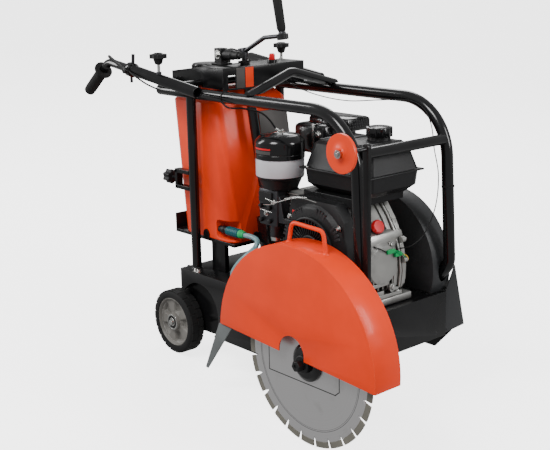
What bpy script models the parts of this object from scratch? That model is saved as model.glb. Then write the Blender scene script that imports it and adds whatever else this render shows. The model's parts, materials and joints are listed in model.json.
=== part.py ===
"""Walk-behind concrete saw with a 450 mm blade.

Every piece is modelled level, in metres, from the blade centre: +X forward, +Y to the far side, +Z up.
The whole machine then tips nose-up into its transport pose, standing on its front and rear wheels.
"""
import bmesh
import bpy
from math import atan2, cos, pi, radians, sin, sqrt
from mathutils import Matrix, Vector

GAP = 0.0003
TRANSPORT_PITCH = radians(5.8)
GROUND_DROP = 0.233

BLADE_RADIUS = 0.225
BLADE_THICKNESS = 0.0034
BLADE_SEGMENTS = 25

TUBE_RADIUS = 0.016
NEAR_Y = 0.100
FAR_Y = 0.441
MIDDLE_Y = (NEAR_Y + FAR_Y) / 2
BEAM_Z = 0.627
BEAM_TOP = BEAM_Z + TUBE_RADIUS
LEG_X = 0.091
POST_X = -0.588

SHEET = 0.006
DECK_TOP = 0.105
CHASSIS_REAR = -0.626
CHASSIS_FRONT = 0.075
FRONT_FACE = 0.079
SIDE_NEAR = 0.066
SIDE_FAR = 0.475

REAR_WHEEL_RADIUS = 0.098
REAR_WHEEL_WIDTH = 0.050
REAR_AXLE = Vector((-0.655, 0, -0.069))
FRONT_WHEEL_RADIUS = 0.0704
FRONT_AXLE = Vector((-0.130, 0, -0.150))
CARRIAGE_PIVOT = Vector((-0.480, 0, -0.020))

SCREW_FOOT = Vector((-0.405, 0.225, 0.283))
SCREW_DIRECTION = Vector((-0.2007, 0, 0.9797)).normalized()

SLEEVE_FRONT = Vector((-0.470, 0, 0.643))
SLEEVE_DIRECTION = Vector((-0.9909, 0, 0.1343)).normalized()
HANDLE_OFFSET = 0.064
HANDLE_BAR = Vector((-0.560, 0, 0.6552))
STOP_BUTTON = Vector((-0.478, 0.316, 0.7085))
GUIDE_PIVOT = Vector((0.1225, 0.085, 0.080))

GUARD_CENTRE = (-0.030, 0.015)
GUARD_RADIUS = 0.2895

BELT_PLANE = 0.420
ENGINE_SHAFT = Vector((-0.060, 0, 0.220))
DRIVE_GROOVE = 0.034
DRIVEN_GROOVE = 0.046
BELT_DEPTH = 0.008

COLOURS = {
    "orange": ((0.80, 0.11, 0.02), 0.40, 0.0),
    "black": ((0.018, 0.018, 0.020), 0.38, 0.0),
    "plastic": ((0.030, 0.030, 0.032), 0.55, 0.0),
    "rubber": ((0.024, 0.024, 0.024), 0.85, 0.0),
    "steel": ((0.52, 0.52, 0.52), 0.35, 1.0),
    "cast": ((0.62, 0.62, 0.60), 0.50, 0.8),
    "grey": ((0.33, 0.33, 0.32), 0.60, 0.0),
    "red": ((0.65, 0.02, 0.02), 0.40, 0.0),
    "teal": ((0.02, 0.32, 0.36), 0.45, 0.0),
    "hose": ((0.45, 0.58, 0.58), 0.35, 0.0),
    "flap": ((0.40, 0.42, 0.42), 0.60, 0.0),
}


# ---------------------------------------------------------------- modelling helpers

def paint(name):
    """Return the named finish, made once."""
    if name in bpy.data.materials:
        return bpy.data.materials[name]
    colour, roughness, metallic = COLOURS[name]
    finish = bpy.data.materials.new(name)
    finish.use_nodes = True
    shader = finish.node_tree.nodes["Principled BSDF"]
    shader.inputs["Base Color"].default_value = (*colour, 1)
    shader.inputs["Roughness"].default_value = roughness
    shader.inputs["Metallic"].default_value = metallic
    return finish


def link(data):
    """Put a mesh or curve in the scene as a new object."""
    item = bpy.data.objects.new("piece", data)
    bpy.context.scene.collection.objects.link(item)
    return item


def from_bmesh(shape):
    """Turn a bmesh with outward faces into an object."""
    bmesh.ops.recalc_face_normals(shape, faces=shape.faces)
    mesh = bpy.data.meshes.new("piece")
    shape.to_mesh(mesh)
    shape.free()
    return link(mesh)


def box(low, high, bevel=0.0):
    """Box between two corners, with its edges rounded by bevel."""
    low = Vector(low)
    high = Vector(high)
    shape = bmesh.new()
    bmesh.ops.create_cube(shape, size=1)
    bmesh.ops.scale(shape, vec=high - low, verts=shape.verts)
    bmesh.ops.translate(shape, vec=(low + high) / 2, verts=shape.verts)
    if bevel:
        bmesh.ops.bevel(shape, geom=shape.edges, offset=bevel, segments=2, profile=0.5, affect="EDGES")
    return from_bmesh(shape)


def prism(outline, low, high, axis="Y"):
    """Extrude a closed outline between two values on an axis.

    The outline is (x, z) pairs along Y, (y, z) pairs along X and (x, y) pairs along Z.
    """
    place = {
        "X": lambda pair, depth: (depth, pair[0], pair[1]),
        "Y": lambda pair, depth: (pair[0], depth, pair[1]),
        "Z": lambda pair, depth: (pair[0], pair[1], depth),
    }[axis]
    shape = bmesh.new()
    near = [shape.verts.new(place(pair, low)) for pair in outline]
    far = [shape.verts.new(place(pair, high)) for pair in outline]
    count = len(outline)
    shape.faces.new(near)
    shape.faces.new(far)
    for index in range(count):
        after = (index + 1) % count
        shape.faces.new((near[index], near[after], far[after], far[index]))
    return from_bmesh(shape)


def turned(profile, origin, direction, steps=20):
    """Turn (radius, distance) points about an axis; zero radius closes an end."""
    side = Vector(direction).normalized()
    frame = side.to_track_quat("Z", "Y").to_matrix()
    shape = bmesh.new()
    rings = []
    for radius, distance in profile:
        count = steps if radius > 0 else 1
        ring = []
        for index in range(count):
            angle = 2 * pi * index / steps
            spot = frame @ Vector((radius * cos(angle), radius * sin(angle), distance))
            ring.append(shape.verts.new(spot + Vector(origin)))
        rings.append(ring)
    closed = profile[0][0] > 0
    pairs = list(zip(rings, rings[1:]))
    if closed:
        pairs.append((rings[-1], rings[0]))
    for first, second in pairs:
        for index in range(steps):
            after = (index + 1) % steps
            corners = [first[index % len(first)], first[after % len(first)],
                       second[after % len(second)], second[index % len(second)]]
            shape.faces.new(list(dict.fromkeys(corners)))
    return from_bmesh(shape)


def rod(start, end, radius, steps=16):
    """Plain round bar between two points."""
    start = Vector(start)
    length = (Vector(end) - start).length
    profile = [(0, 0), (radius, 0), (radius, length), (0, length)]
    return turned(profile, start, Vector(end) - start, steps)


def rounded_path(corners, bend, steps=6):
    """Route through the corners with an arc of radius bend at each inner one."""
    corners = [Vector(corner) for corner in corners]
    path = [corners[0]]
    for before, corner, after in zip(corners, corners[1:], corners[2:]):
        back = (before - corner).normalized()
        ahead = (after - corner).normalized()
        half = back.angle(ahead) / 2
        reach = bend * cos(half) / sin(half)
        middle = corner + (back + ahead).normalized() * bend / sin(half)
        start = corner + back * reach - middle
        end = corner + ahead * reach - middle
        sweep = start.angle(end)
        for index in range(steps + 1):
            part = index / steps
            weight_start = sin((1 - part) * sweep) / sin(sweep)
            weight_end = sin(part * sweep) / sin(sweep)
            path.append(middle + start * weight_start + end * weight_end)
    path.append(corners[-1])
    return path


def smooth_route(stops, spacing):
    """Even points along a Catmull-Rom curve through the stops."""
    stops = [Vector(stop) for stop in stops]
    ends = [2 * stops[0] - stops[1]] + stops + [2 * stops[-1] - stops[-2]]
    fine = []
    for a, b, c, d in zip(ends, ends[1:], ends[2:], ends[3:]):
        for index in range(24):
            t = index / 24
            fine.append(0.5 * (2 * b + (c - a) * t + (2 * a - 5 * b + 4 * c - d) * t * t
                               + (3 * b - a - 3 * c + d) * t ** 3))
    fine.append(stops[-1])
    travelled = [0.0]
    for first, second in zip(fine, fine[1:]):
        travelled.append(travelled[-1] + (second - first).length)
    count = max(2, round(travelled[-1] / spacing))
    route = []
    spot = 0
    for index in range(count + 1):
        wanted = travelled[-1] * index / count
        while spot < len(fine) - 2 and travelled[spot + 1] < wanted:
            spot += 1
        part = (wanted - travelled[spot]) / (travelled[spot + 1] - travelled[spot])
        route.append(fine[spot].lerp(fine[spot + 1], part))
    return route


def pipe(points, radius, resolution=4):
    """Solid round tube along the points, as a bevelled poly curve with filled ends."""
    curve = bpy.data.curves.new("piece", "CURVE")
    curve.dimensions = "3D"
    curve.bevel_depth = radius
    curve.bevel_resolution = resolution
    curve.use_fill_caps = True
    spline = curve.splines.new("POLY")
    spline.points.add(len(points) - 1)
    for spot, point in zip(spline.points, points):
        spot.co = (*point, 1)
    return link(curve)


def settled_mesh(item):
    """Mesh of an object as its modifiers leave it."""
    return bpy.data.meshes.new_from_object(item.evaluated_get(bpy.context.evaluated_depsgraph_get()))


def welded(mesh):
    """Merge the points of a mesh that coincide, and drop faces with no area."""
    shape = bmesh.new()
    shape.from_mesh(mesh)
    bmesh.ops.remove_doubles(shape, verts=shape.verts, dist=0.00002)
    bmesh.ops.dissolve_degenerate(shape, edges=shape.edges, dist=0.00001)
    shape.to_mesh(mesh)
    shape.free()
    return mesh


def meshed(item):
    """Replace a curve object by the mesh that it draws."""
    result = link(welded(settled_mesh(item)))
    bpy.data.objects.remove(item)
    return result


def combine(body, tools, operation):
    """Join the tools to the body, or cut them out of it, for good."""
    for tool in tools:
        step = body.modifiers.new(operation.lower(), "BOOLEAN")
        step.operation = operation
        step.solver = "EXACT"
        step.object = tool
    mesh = welded(settled_mesh(body))
    body.modifiers.clear()
    body.data = mesh
    for tool in tools:
        bpy.data.objects.remove(tool)
    return body


def join(body, *tools):
    return combine(body, tools, "UNION")


def cut(body, *tools):
    return combine(body, tools, "DIFFERENCE")


def arc(centre, radius, start, end, steps):
    """Points on a circle from one angle to another, in degrees."""
    angles = [radians(start + (end - start) * index / steps) for index in range(steps + 1)]
    return [(centre[0] + radius * cos(a), centre[1] + radius * sin(a)) for a in angles]


def capsule(start, end, half_width, steps=6):
    """Outline of a flat bar with round ends between two (x, z) points."""
    lean = atan2(end[1] - start[1], end[0] - start[0]) * 180 / pi
    return (arc(start, half_width, lean + 90, lean + 270, steps)
            + arc(end, half_width, lean - 90, lean + 90, steps))


def lobed(lobes, radius, depth, steps_per_lobe=6):
    """Outline of a star knob: a circle whose radius dips between the lobes."""
    count = lobes * steps_per_lobe
    outline = []
    for index in range(count):
        angle = 2 * pi * index / count
        reach = radius - depth * (0.5 - 0.5 * cos(lobes * angle))
        outline.append((reach * cos(angle), reach * sin(angle)))
    return outline


def finish(item, name, colour, pivot=(0, 0, 0)):
    """Name and paint a piece, and set its origin on its pivot under the machine."""
    pivot = Vector(pivot)
    item.name = name
    item.data.name = name
    item.data.materials.clear()
    item.data.materials.append(paint(colour))
    item.data.transform(Matrix.Translation(-pivot))
    item.location = pivot
    item.parent = machine
    if item.type == "MESH":
        item.data.shade_smooth()
        item.data.set_sharp_from_angle(angle=radians(35))
    return item


# ---------------------------------------------------------------- chassis and frame

def side_plate(low, high):
    """Chassis side: square at the back, arched over the wheel, rising at the front."""
    arch = arc((-0.540, -0.014), 0.089, 143.5, -43.2, 16)
    outline = [(CHASSIS_FRONT, DECK_TOP), (CHASSIS_REAR, DECK_TOP), (CHASSIS_REAR, arch[0][1])]
    outline += arch
    outline += [(0.020, -0.075), (CHASSIS_FRONT, -0.016)]
    return prism(outline, low, high)


def wheel_bracket(low, high):
    """Inner plate that carries the rear axle and the carriage pivot."""
    outline = [(-0.440, DECK_TOP - 0.002), (-0.640, DECK_TOP - 0.002), (-0.690, -0.040),
               (-0.685, -0.092), (-0.500, -0.085), (-0.440, -0.030)]
    holes = [rod(centre + Vector((0, low - 0.01, 0)), centre + Vector((0, high + 0.01, 0)), 0.0083)
             for centre in (REAR_AXLE, CARRIAGE_PIVOT)]
    return cut(prism(outline, low, high), *holes)


def screw_point(height):
    """Point of the depth screw's axis at a height."""
    return SCREW_FOOT + SCREW_DIRECTION * ((height - SCREW_FOOT.z) / SCREW_DIRECTION.z)


def make_chassis():
    deck = box((CHASSIS_REAR, SIDE_NEAR, DECK_TOP - SHEET), (CHASSIS_FRONT, SIDE_FAR, DECK_TOP))
    rear = box((CHASSIS_REAR, SIDE_NEAR, 0.039), (CHASSIS_REAR + SHEET, SIDE_FAR, DECK_TOP))
    front = box((CHASSIS_FRONT - 0.001, SIDE_NEAR, -0.020), (FRONT_FACE, 0.443, 0.106))
    lugs = [box((CHASSIS_FRONT, y, 0.055), (0.140, y + 0.006, 0.104)) for y in (0.0665, 0.100)]
    body = join(deck, rear, side_plate(SIDE_NEAR, SIDE_NEAR + SHEET),
                side_plate(SIDE_FAR - SHEET, SIDE_FAR), wheel_bracket(0.102, 0.108),
                wheel_bracket(2 * MIDDLE_Y - 0.108, 2 * MIDDLE_Y - 0.102), front, *lugs)
    belt_slot = box((-0.105, 0.4045, 0.09), (0.062, 0.436, 0.12))
    shaft_hole = rod((0, SIDE_NEAR - 0.01, 0), (0, SIDE_NEAR + 0.02, 0), 0.0290, 28)
    rod_hole = rod(screw_point(0.08), screw_point(0.13), 0.014)
    pin_hole = rod((GUIDE_PIVOT.x, 0.05, GUIDE_PIVOT.z), (GUIDE_PIVOT.x, 0.12, GUIDE_PIVOT.z), 0.0053)
    cut(body, belt_slot, shaft_hole, rod_hole, pin_hole)
    finish(body, "chassis", "black")


def make_wing():
    """Skirt plate at the far front corner, bent out past the chassis side."""
    outline = [(0.4435, 0.108), (0.479, 0.175), (0.525, -0.008), (0.4435, -0.014)]
    finish(prism(outline, CHASSIS_FRONT + GAP, FRONT_FACE, "X"), "wing_plate", "black")


def frame_route(y):
    """Centreline of one frame tube: beam, front leg, and the foot turned back."""
    corners = [(-0.735, y, BEAM_Z), (0.0675, y, BEAM_Z), (LEG_X, y, 0.185), (0.000, y, 0.094)]
    beam_bend = rounded_path(corners[:3], 0.155, 8)
    foot_bend = rounded_path([corners[1], corners[2], corners[3]], 0.045, 5)
    return beam_bend[:-1] + foot_bend[1:]


def make_frame(name, y, *fittings):
    """Bent tube with its rear post and fittings, the foot cut off level on the deck."""
    tube = meshed(pipe(frame_route(y), TUBE_RADIUS, 4))
    post = rod((POST_X, y, DECK_TOP + GAP), (POST_X, y, BEAM_Z), 0.014)
    join(tube, post, *fittings)
    below_deck = box((-0.1, y - 0.04, 0.0), (0.08, y + 0.04, DECK_TOP + GAP))
    finish(cut(tube, below_deck), name, "black")


def make_cross_tube():
    reach = TUBE_RADIUS + GAP
    tube = rod((0.0725, NEAR_Y + reach, 0.527), (0.0725, FAR_Y - reach, 0.527), 0.014)
    finish(tube, "cross_tube", "black")


def make_bail():
    """Peaked lifting bar, its feet cut level on the two beams."""
    corners = [(-0.318, NEAR_Y - 0.012, 0.640), (-0.345, MIDDLE_Y, 0.690), (-0.358, FAR_Y + 0.012, 0.640)]
    bail = meshed(pipe(rounded_path(corners, 0.060, 6), 0.013, 4))
    below = box((-0.45, 0.0, 0.5), (-0.2, 0.6, BEAM_TOP + GAP))
    finish(cut(bail, below), "lifting_bail", "black")


# ---------------------------------------------------------------- wheels and depth carriage

def make_rear_wheels():
    """Axle, and on each end a light hub with a black tyre."""
    axle = rod((REAR_AXLE.x, 0.040, REAR_AXLE.z), (REAR_AXLE.x, 2 * MIDDLE_Y - 0.040, REAR_AXLE.z), 0.008)
    finish(axle, "rear_axle", "steel", REAR_AXLE + Vector((0, MIDDLE_Y, 0)))
    rim = 0.075
    half = REAR_WHEEL_WIDTH / 2
    for side, y in (("near", 0.073), ("far", 2 * MIDDLE_Y - 0.073)):
        centre = REAR_AXLE + Vector((0, y, 0))
        hub = turned([(0.0083, -half), (0.024, -half), (0.026, 0.012 - half), (0.064, 0.016 - half),
                      (0.070, 0.003 - half), (rim, 0.003 - half), (rim, half - 0.003),
                      (0.070, half - 0.003), (0.064, half - 0.016), (0.026, half - 0.012),
                      (0.024, half), (0.0083, half)], centre, (0, 1, 0), 28)
        tyre = turned([(rim + GAP, -half), (0.090, -half), (REAR_WHEEL_RADIUS, 0.008 - half),
                       (REAR_WHEEL_RADIUS, half - 0.008), (0.090, half), (rim + GAP, half)],
                      centre, (0, 1, 0), 44)
        finish(hub, "rear_hub_" + side, "grey", centre)
        finish(tyre, "rear_tyre_" + side, "rubber", centre)


def make_carriage():
    """Swinging carriage: pivot tube, two arms, push bar and front axle."""
    pivot = CARRIAGE_PIVOT
    low, high = 0.0985, 2 * MIDDLE_Y - 0.0985
    shoulder = 0.0098
    profile = [(0, 0), (0.008, 0), (0.008, shoulder), (0.013, shoulder), (0.013, high - low - shoulder),
               (0.008, high - low - shoulder), (0.008, high - low), (0, high - low)]
    body = turned(profile, (pivot.x, low, pivot.z), (0, 1, 0))
    arm = capsule((pivot.x, pivot.z), (FRONT_AXLE.x, FRONT_AXLE.z), 0.018)
    arms = [prism(arm, y, y + 0.008) for y in (0.150, 0.383)]
    push_bar = rod((-0.333, 0.154, -0.0745), (-0.333, 0.387, -0.0745), 0.010)
    axle = rod((FRONT_AXLE.x, 0.154, FRONT_AXLE.z), (FRONT_AXLE.x, 0.387, FRONT_AXLE.z), 0.008)
    join(body, *arms, push_bar, axle)
    finish(body, "front_carriage", "black", pivot + Vector((0, MIDDLE_Y, 0)))
    for side, y in (("near", 0.182), ("far", 0.359)):
        centre = FRONT_AXLE + Vector((0, y, 0))
        wheel = turned([(0.0083, -0.020), (0.060, -0.020), (FRONT_WHEEL_RADIUS, -0.014),
                        (FRONT_WHEEL_RADIUS, 0.014), (0.060, 0.020), (0.0083, 0.020)],
                       centre, (0, 1, 0), 32)
        finish(wheel, "front_wheel_" + side, "rubber", centre)


def make_depth_screw():
    """Housing tube on its foot, the travelling push rod, and the crank with its grip."""
    top = 0.716
    tube = rod(screw_point(0.140), screw_point(top), 0.014)
    foot = box((-0.418, 0.203, DECK_TOP + GAP), (-0.345, 0.247, 0.150))
    block = prism([(-0.385, 0.150), (-0.416, 0.150), (-0.432, 0.270), (-0.392, 0.285), (-0.372, 0.150)],
                  0.205, 0.245)
    collar = rod(screw_point(0.710), screw_point(top), 0.019)
    join(tube, foot, block, collar)
    cut(tube, rod(screw_point(0.09), screw_point(0.695), 0.0113),
        rod(screw_point(0.60), screw_point(0.73), 0.0078))
    finish(tube, "screw_housing", "black", screw_point(top))

    push_rod = rod(screw_point(-0.060), screw_point(0.165), 0.0105)
    cut(push_rod, rod(screw_point(-0.020), screw_point(0.18), 0.0079))
    finish(push_rod, "push_rod", "steel", screw_point(0.165))

    hub = screw_point(0.737)
    grip_foot = Vector((-0.329, hub.y, 0.791))
    screw = rod(screw_point(0.130), screw_point(0.745), 0.0075)
    boss = rod(screw_point(0.724), screw_point(0.750), 0.014)
    arm = meshed(pipe(rounded_path([hub, (-0.405, hub.y, 0.783), grip_foot], 0.03, 4), 0.0065, 3))
    knuckle = rod(grip_foot - SCREW_DIRECTION * 0.010, grip_foot + SCREW_DIRECTION * 0.010, 0.011)
    pin = rod(grip_foot, grip_foot + SCREW_DIRECTION * 0.124, 0.004)
    join(screw, boss, arm, knuckle, pin)
    finish(screw, "depth_crank", "steel", hub)
    grip = turned([(0.0043, 0.0105), (0.009, 0.0105), (0.0125, 0.020), (0.0135, 0.105),
                   (0.0115, 0.118), (0.0043, 0.118)], grip_foot, SCREW_DIRECTION)
    finish(grip, "crank_grip", "plastic", grip_foot)


# ---------------------------------------------------------------- blade, guard and drive

def make_blade():
    """Disc with a gullet before each of its diamond segments."""
    pitch = 2 * pi / BLADE_SEGMENTS
    root = BLADE_RADIUS - 0.027
    outline = []
    for index in range(BLADE_SEGMENTS):
        start = index * pitch - radians(100)
        for part, reach in ((0.07, root), (0.13, root), (0.18, BLADE_RADIUS), (0.45, BLADE_RADIUS),
                            (0.72, BLADE_RADIUS), (1.00, BLADE_RADIUS)):
            angle = start + part * pitch
            outline.append((reach * cos(angle), reach * sin(angle)))
    half = BLADE_THICKNESS / 2
    blade = cut(prism(outline, -half, half), rod((0, -0.01, 0), (0, 0.01, 0), 0.0127))
    finish(blade, "blade", "steel")


def make_blade_shaft():
    """Shaft turned with its inner flange and driven pulley, the outer flange, and the bolt."""
    groove = DRIVEN_GROOVE
    shaft = turned([(0, -0.0130), (0.0124, -0.0130), (0.0124, 0.0020), (0.050, 0.0020), (0.050, 0.014),
                    (0.015, 0.014), (0.015, 0.410), (groove + 0.006, 0.410), (groove, 0.416),
                    (groove, 0.424), (groove + 0.006, 0.430), (0.015, 0.430), (0.015, 0.452), (0, 0.452)],
                   (0, 0, 0), (0, 1, 0), 28)
    finish(shaft, "blade_shaft", "steel")
    flange = turned([(0.0127, -0.0020), (0.050, -0.0020), (0.050, -0.008), (0.040, -0.014),
                     (0.0127, -0.014)], (0, 0, 0), (0, 1, 0), 28)
    finish(flange, "outer_flange", "plastic")
    washer = rod((0, -0.0143, 0), (0, -0.027, 0), 0.024)
    head = turned([(0, 0.026), (0.015, 0.026), (0.015, 0.047), (0, 0.047)], (0, 0, 0), (0, -1, 0), 6)
    finish(join(washer, head), "blade_bolt", "plastic")


def make_bearings():
    """Two housings that hang the blade shaft under the deck."""
    top = DECK_TOP - SHEET - GAP
    near = box((-0.035, SIDE_NEAR + SHEET + GAP, -0.035), (0.035, 0.110, top))
    join(near, rod((0, 0.050, 0), (0, 0.080, 0), 0.028, 28))
    cut(near, rod((0, 0.03, 0), (0, 0.13, 0), 0.0153))
    finish(near, "bearing_near", "cast")
    far = box((-0.035, 0.384, -0.035), (0.035, 0.400, top))
    finish(cut(far, rod((0, 0.37, 0), (0, 0.41, 0), 0.0153)), "bearing_far", "cast")


def guard_outline(radius, drop):
    """Half disc whose straight edge tips down at the front by the guard's tilt."""
    tilt = 3.37
    points = arc(GUARD_CENTRE, radius, -tilt, 180 - tilt, 40)
    if drop:
        down = Vector((sin(radians(-tilt)), -cos(radians(-tilt)))) * drop
        points.append((points[-1][0] + down.x, points[-1][1] + down.y))
        points.append((points[0][0] + down.x, points[0][1] + down.y))
    return points


def make_guard():
    """Folded half-disc cover with its hub lug, bolt notch and rod handle."""
    wall = 0.003
    near, far = -0.030, 0.059
    shell = prism(guard_outline(GUARD_RADIUS, 0), near, far)
    cut(shell, prism(guard_outline(GUARD_RADIUS - wall, 0.06), near + wall, far - wall))
    lug = rod((0, far - wall + GAP, 0), (0, far - GAP, 0), 0.045, 28)
    handle = meshed(pipe(rounded_path([(-0.083, 0.015, 0.2978), (-0.071, 0.015, 0.352),
                                       (0.042, 0.015, 0.348), (0.051, 0.015, 0.2912)], 0.016, 4), 0.0055, 2))
    join(shell, lug, handle)
    bolt_notch = rod((-0.032, near - 0.01, 0.022), (-0.032, near + 0.01, 0.022), 0.047, 32)
    hub_hole = rod((0, far - 0.02, 0), (0, far + 0.02, 0), 0.0287, 28)
    cut(shell, bolt_notch, hub_hole)
    finish(shell, "blade_guard", "orange")
    flap = prism([(-0.330, 0.0285), (-0.277, 0.0255), (-0.388, -0.121), (-0.398, -0.119)], -0.026, -0.022)
    finish(flap, "splash_flap", "flap", (-0.303, -0.024, 0.027))


def belt_outline(extra):
    """Outer edge of the belt loop, grown by extra from the groove bottoms."""
    drive = DRIVE_GROOVE + 0.0004 + extra
    driven = DRIVEN_GROOVE + 0.0004 + extra
    distance = sqrt(ENGINE_SHAFT.x ** 2 + ENGINE_SHAFT.z ** 2)
    lean = atan2(ENGINE_SHAFT.z, ENGINE_SHAFT.x) * 180 / pi
    open_angle = atan2(driven - drive, distance) * 180 / pi
    top = (ENGINE_SHAFT.x, ENGINE_SHAFT.z)
    return (arc((0, 0), driven, lean + 90 - open_angle, lean + 270 + open_angle, 20)
            + arc(top, drive, lean - 90 + open_angle, lean + 90 - open_angle, 16))


def make_drive():
    """Engine shaft turned with its pulley, the belt, and the cover over them."""
    groove = DRIVE_GROOVE
    shaft = turned([(0, 0.3457), (0.0125, 0.3457), (0.0125, 0.410), (groove + 0.006, 0.410),
                    (groove, 0.416), (groove, 0.424), (groove + 0.006, 0.430), (0.0125, 0.430),
                    (0.0125, 0.440), (0, 0.440)], ENGINE_SHAFT, (0, 1, 0), 32)
    finish(shaft, "engine_shaft", "steel", ENGINE_SHAFT)
    belt = prism(belt_outline(BELT_DEPTH), BELT_PLANE - 0.0037, BELT_PLANE + 0.0037)
    cut(belt, prism(belt_outline(0), BELT_PLANE - 0.01, BELT_PLANE + 0.01))
    finish(belt, "v_belt", "rubber")

    def outline(radius, bottom):
        middle = (-0.134, 0.164)
        reach = atan2(bottom - middle[1], sqrt(radius ** 2 - (bottom - middle[1]) ** 2)) * 180 / pi
        return arc(middle, radius, reach, 180 - reach, 32)

    cover = prism(outline(0.204, DECK_TOP + GAP), 0.398, 0.468)
    cut(cover, prism(outline(0.2015, DECK_TOP - 0.02), 0.4005, 0.4655),
        rod(ENGINE_SHAFT + Vector((0, 0.39, 0)), ENGINE_SHAFT + Vector((0, 0.405, 0)), 0.020))
    cut(cover, meshed(pipe(frame_route(FAR_Y), 0.021, 3)))
    finish(cover, "belt_guard", "plastic")


# ---------------------------------------------------------------- engine

def make_engine():
    """Crankcase on its base, with the cylinder leaning back."""
    base = box((-0.190, 0.140, DECK_TOP + GAP), (0.050, 0.335, 0.126), 0.004)
    case = box((-0.165, 0.151, 0.120), (0.030, 0.330, 0.300), 0.020)
    cylinder = prism([(-0.120, 0.240), (-0.215, 0.270), (-0.240, 0.385), (-0.150, 0.398),
                      (-0.060, 0.398), (-0.040, 0.290)], 0.158, 0.320)
    boss = rod(ENGINE_SHAFT + Vector((0, 0.32, 0)), ENGINE_SHAFT + Vector((0, 0.345, 0)), 0.040)
    front = turned([(0, 0), (0.060, 0), (0.052, 0.012), (0, 0.012)], (0.029, 0.235, 0.215), (1, 0, 0))
    finish(join(base, case, cylinder, boss, front), "engine_block", "cast")


def make_fan_cover():
    """Round recoil housing on its shroud beside the cylinder, and the starter grip."""
    middle = Vector((-0.095, 0, 0.262))
    disc = turned([(0, 0.1505), (0.118, 0.1505), (0.118, 0.118), (0.104, 0.105), (0.060, 0.100), (0, 0.100)],
                  middle, (0, 1, 0), 32)
    shroud = prism([(-0.186, 0.270), (-0.190, 0.352), (-0.174, 0.386), (-0.020, 0.386), (0.014, 0.345),
                    (0.018, 0.270)], 0.115, 0.1503)
    finish(join(disc, shroud), "fan_cover", "plastic")
    pull = Vector((-0.150, 0.0995, 0.325))
    grip = join(rod(pull + Vector((0, -0.012, 0)), pull, 0.005),
                box(pull + Vector((-0.022, -0.022, -0.008)), pull + Vector((0.022, -0.010, 0.008)), 0.003))
    finish(grip, "recoil_grip", "plastic", pull)


def make_fuel_tank():
    """Tank that narrows above and below its pressed seam, with its neck, and the round cap."""
    low, high = Vector((-0.180, 0.155)), Vector((0.062, 0.350))
    shape = bmesh.new()
    for level, inset in ((0.4013, 0.022), (0.418, 0.004), (0.458, 0.0), (0.523, 0.018), (0.532, 0.028)):
        for x, turn in ((low.x + inset, 0.018), (high.x - inset, -0.018)):
            for y, side in ((low.y + inset, 0.018), (high.y - inset, -0.018)):
                for along, across in ((1, 0), (0.3, 0.3), (0, 1)):
                    shape.verts.new((x + turn * along, y + side * across, level))
    hull = bmesh.ops.convex_hull(shape, input=shape.verts)
    bmesh.ops.delete(shape, geom=[v for v in hull["geom_interior"] if v.is_valid], context="VERTS")
    bmesh.ops.dissolve_limit(shape, angle_limit=radians(1), verts=shape.verts, edges=shape.edges)
    tank = from_bmesh(shape)
    seam = box((low.x - 0.007, low.y - 0.007, 0.4555), (high.x + 0.007, high.y + 0.007, 0.4605), 0.002)
    middle = Vector((-0.030, 0.290, 0.5413))
    neck = rod((middle.x, middle.y, 0.525), (middle.x, middle.y, middle.z - GAP), 0.030)
    finish(join(tank, seam, neck), "fuel_tank", "plastic")
    cap = prism([(middle.x + x, middle.y + y) for x, y in lobed(12, 0.036, 0.003, 4)],
                middle.z, middle.z + 0.024, "Z")
    finish(cap, "fuel_cap", "plastic", middle)


def make_air_cleaner():
    """Round air cleaner standing on the carburettor."""
    foot = Vector((-0.275, 0.160, 0.3887))
    body = turned([(0, 0), (0.050, 0), (0.060, 0.030), (0.066, 0.034), (0.066, 0.084), (0.068, 0.086),
                   (0.068, 0.125), (0.055, 0.150), (0.020, 0.153), (0, 0.153)], foot, (0, 0, 1), 32)
    finish(body, "air_cleaner", "plastic")
    carburettor = box((-0.322, 0.120, 0.285), (-0.245, 0.205, 0.3884), 0.006)
    bowl = rod((-0.284, 0.160, 0.250), (-0.284, 0.160, 0.290), 0.026)
    flange = prism([(-0.250, 0.300), (-0.250, 0.372), (-0.2385, 0.372), (-0.2225, 0.300)], 0.125, 0.200)
    finish(join(carburettor, bowl, flange), "carburettor", "cast")


def make_muffler():
    """Silencer box beside the tank, with its shroud and exhaust pipe."""
    body = box((-0.325, 0.255, 0.470), (-0.204, 0.390, 0.552), 0.014)
    shroud = box((-0.302, 0.290, 0.5345), (-0.150, 0.387, 0.572), 0.010)
    stack = rod((-0.222, 0.295, 0.4010), (-0.222, 0.295, 0.480), 0.014)
    finish(join(body, shroud, stack), "muffler", "plastic")


# ---------------------------------------------------------------- water tank and console

def tank_shape(inset):
    """Leaning tank body with sloped shoulders, drawn in by inset."""
    low = [(-0.681, 0.2003), (-0.442, 0.2003)]
    high = [(-0.722, 0.598), (-0.511, 0.598)]
    top = [(-0.700, 0.640), (-0.535, 0.640)]
    spans = [(low, 0.125, 0.405), (high, 0.125, 0.405), (top, 0.180, 0.350)]
    shape = bmesh.new()
    for (rear, front), near, far in spans:
        lift = inset if rear[1] < 0.3 else -inset
        if abs(rear[1] - 0.598) < 0.01:
            lift = 0
        corner = 0.03 if near < 0.15 else 0.01
        x0, x1 = rear[0] + inset, front[0] - inset
        y0, y1 = near + inset, far - inset
        for x, turn in ((x0, corner), (x1, -corner)):
            for y, side in ((y0, corner), (y1, -corner)):
                shape.verts.new((x + turn, y, rear[1] + lift))
                shape.verts.new((x, y + side, rear[1] + lift))
                shape.verts.new((x + turn * 0.3, y + side * 0.3, rear[1] + lift))
    hull = bmesh.ops.convex_hull(shape, input=shape.verts)
    bmesh.ops.delete(shape, geom=[v for v in hull["geom_interior"] if v.is_valid], context="VERTS")
    bmesh.ops.dissolve_limit(shape, angle_limit=radians(1), verts=shape.verts, edges=shape.edges)
    return from_bmesh(shape)


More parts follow.
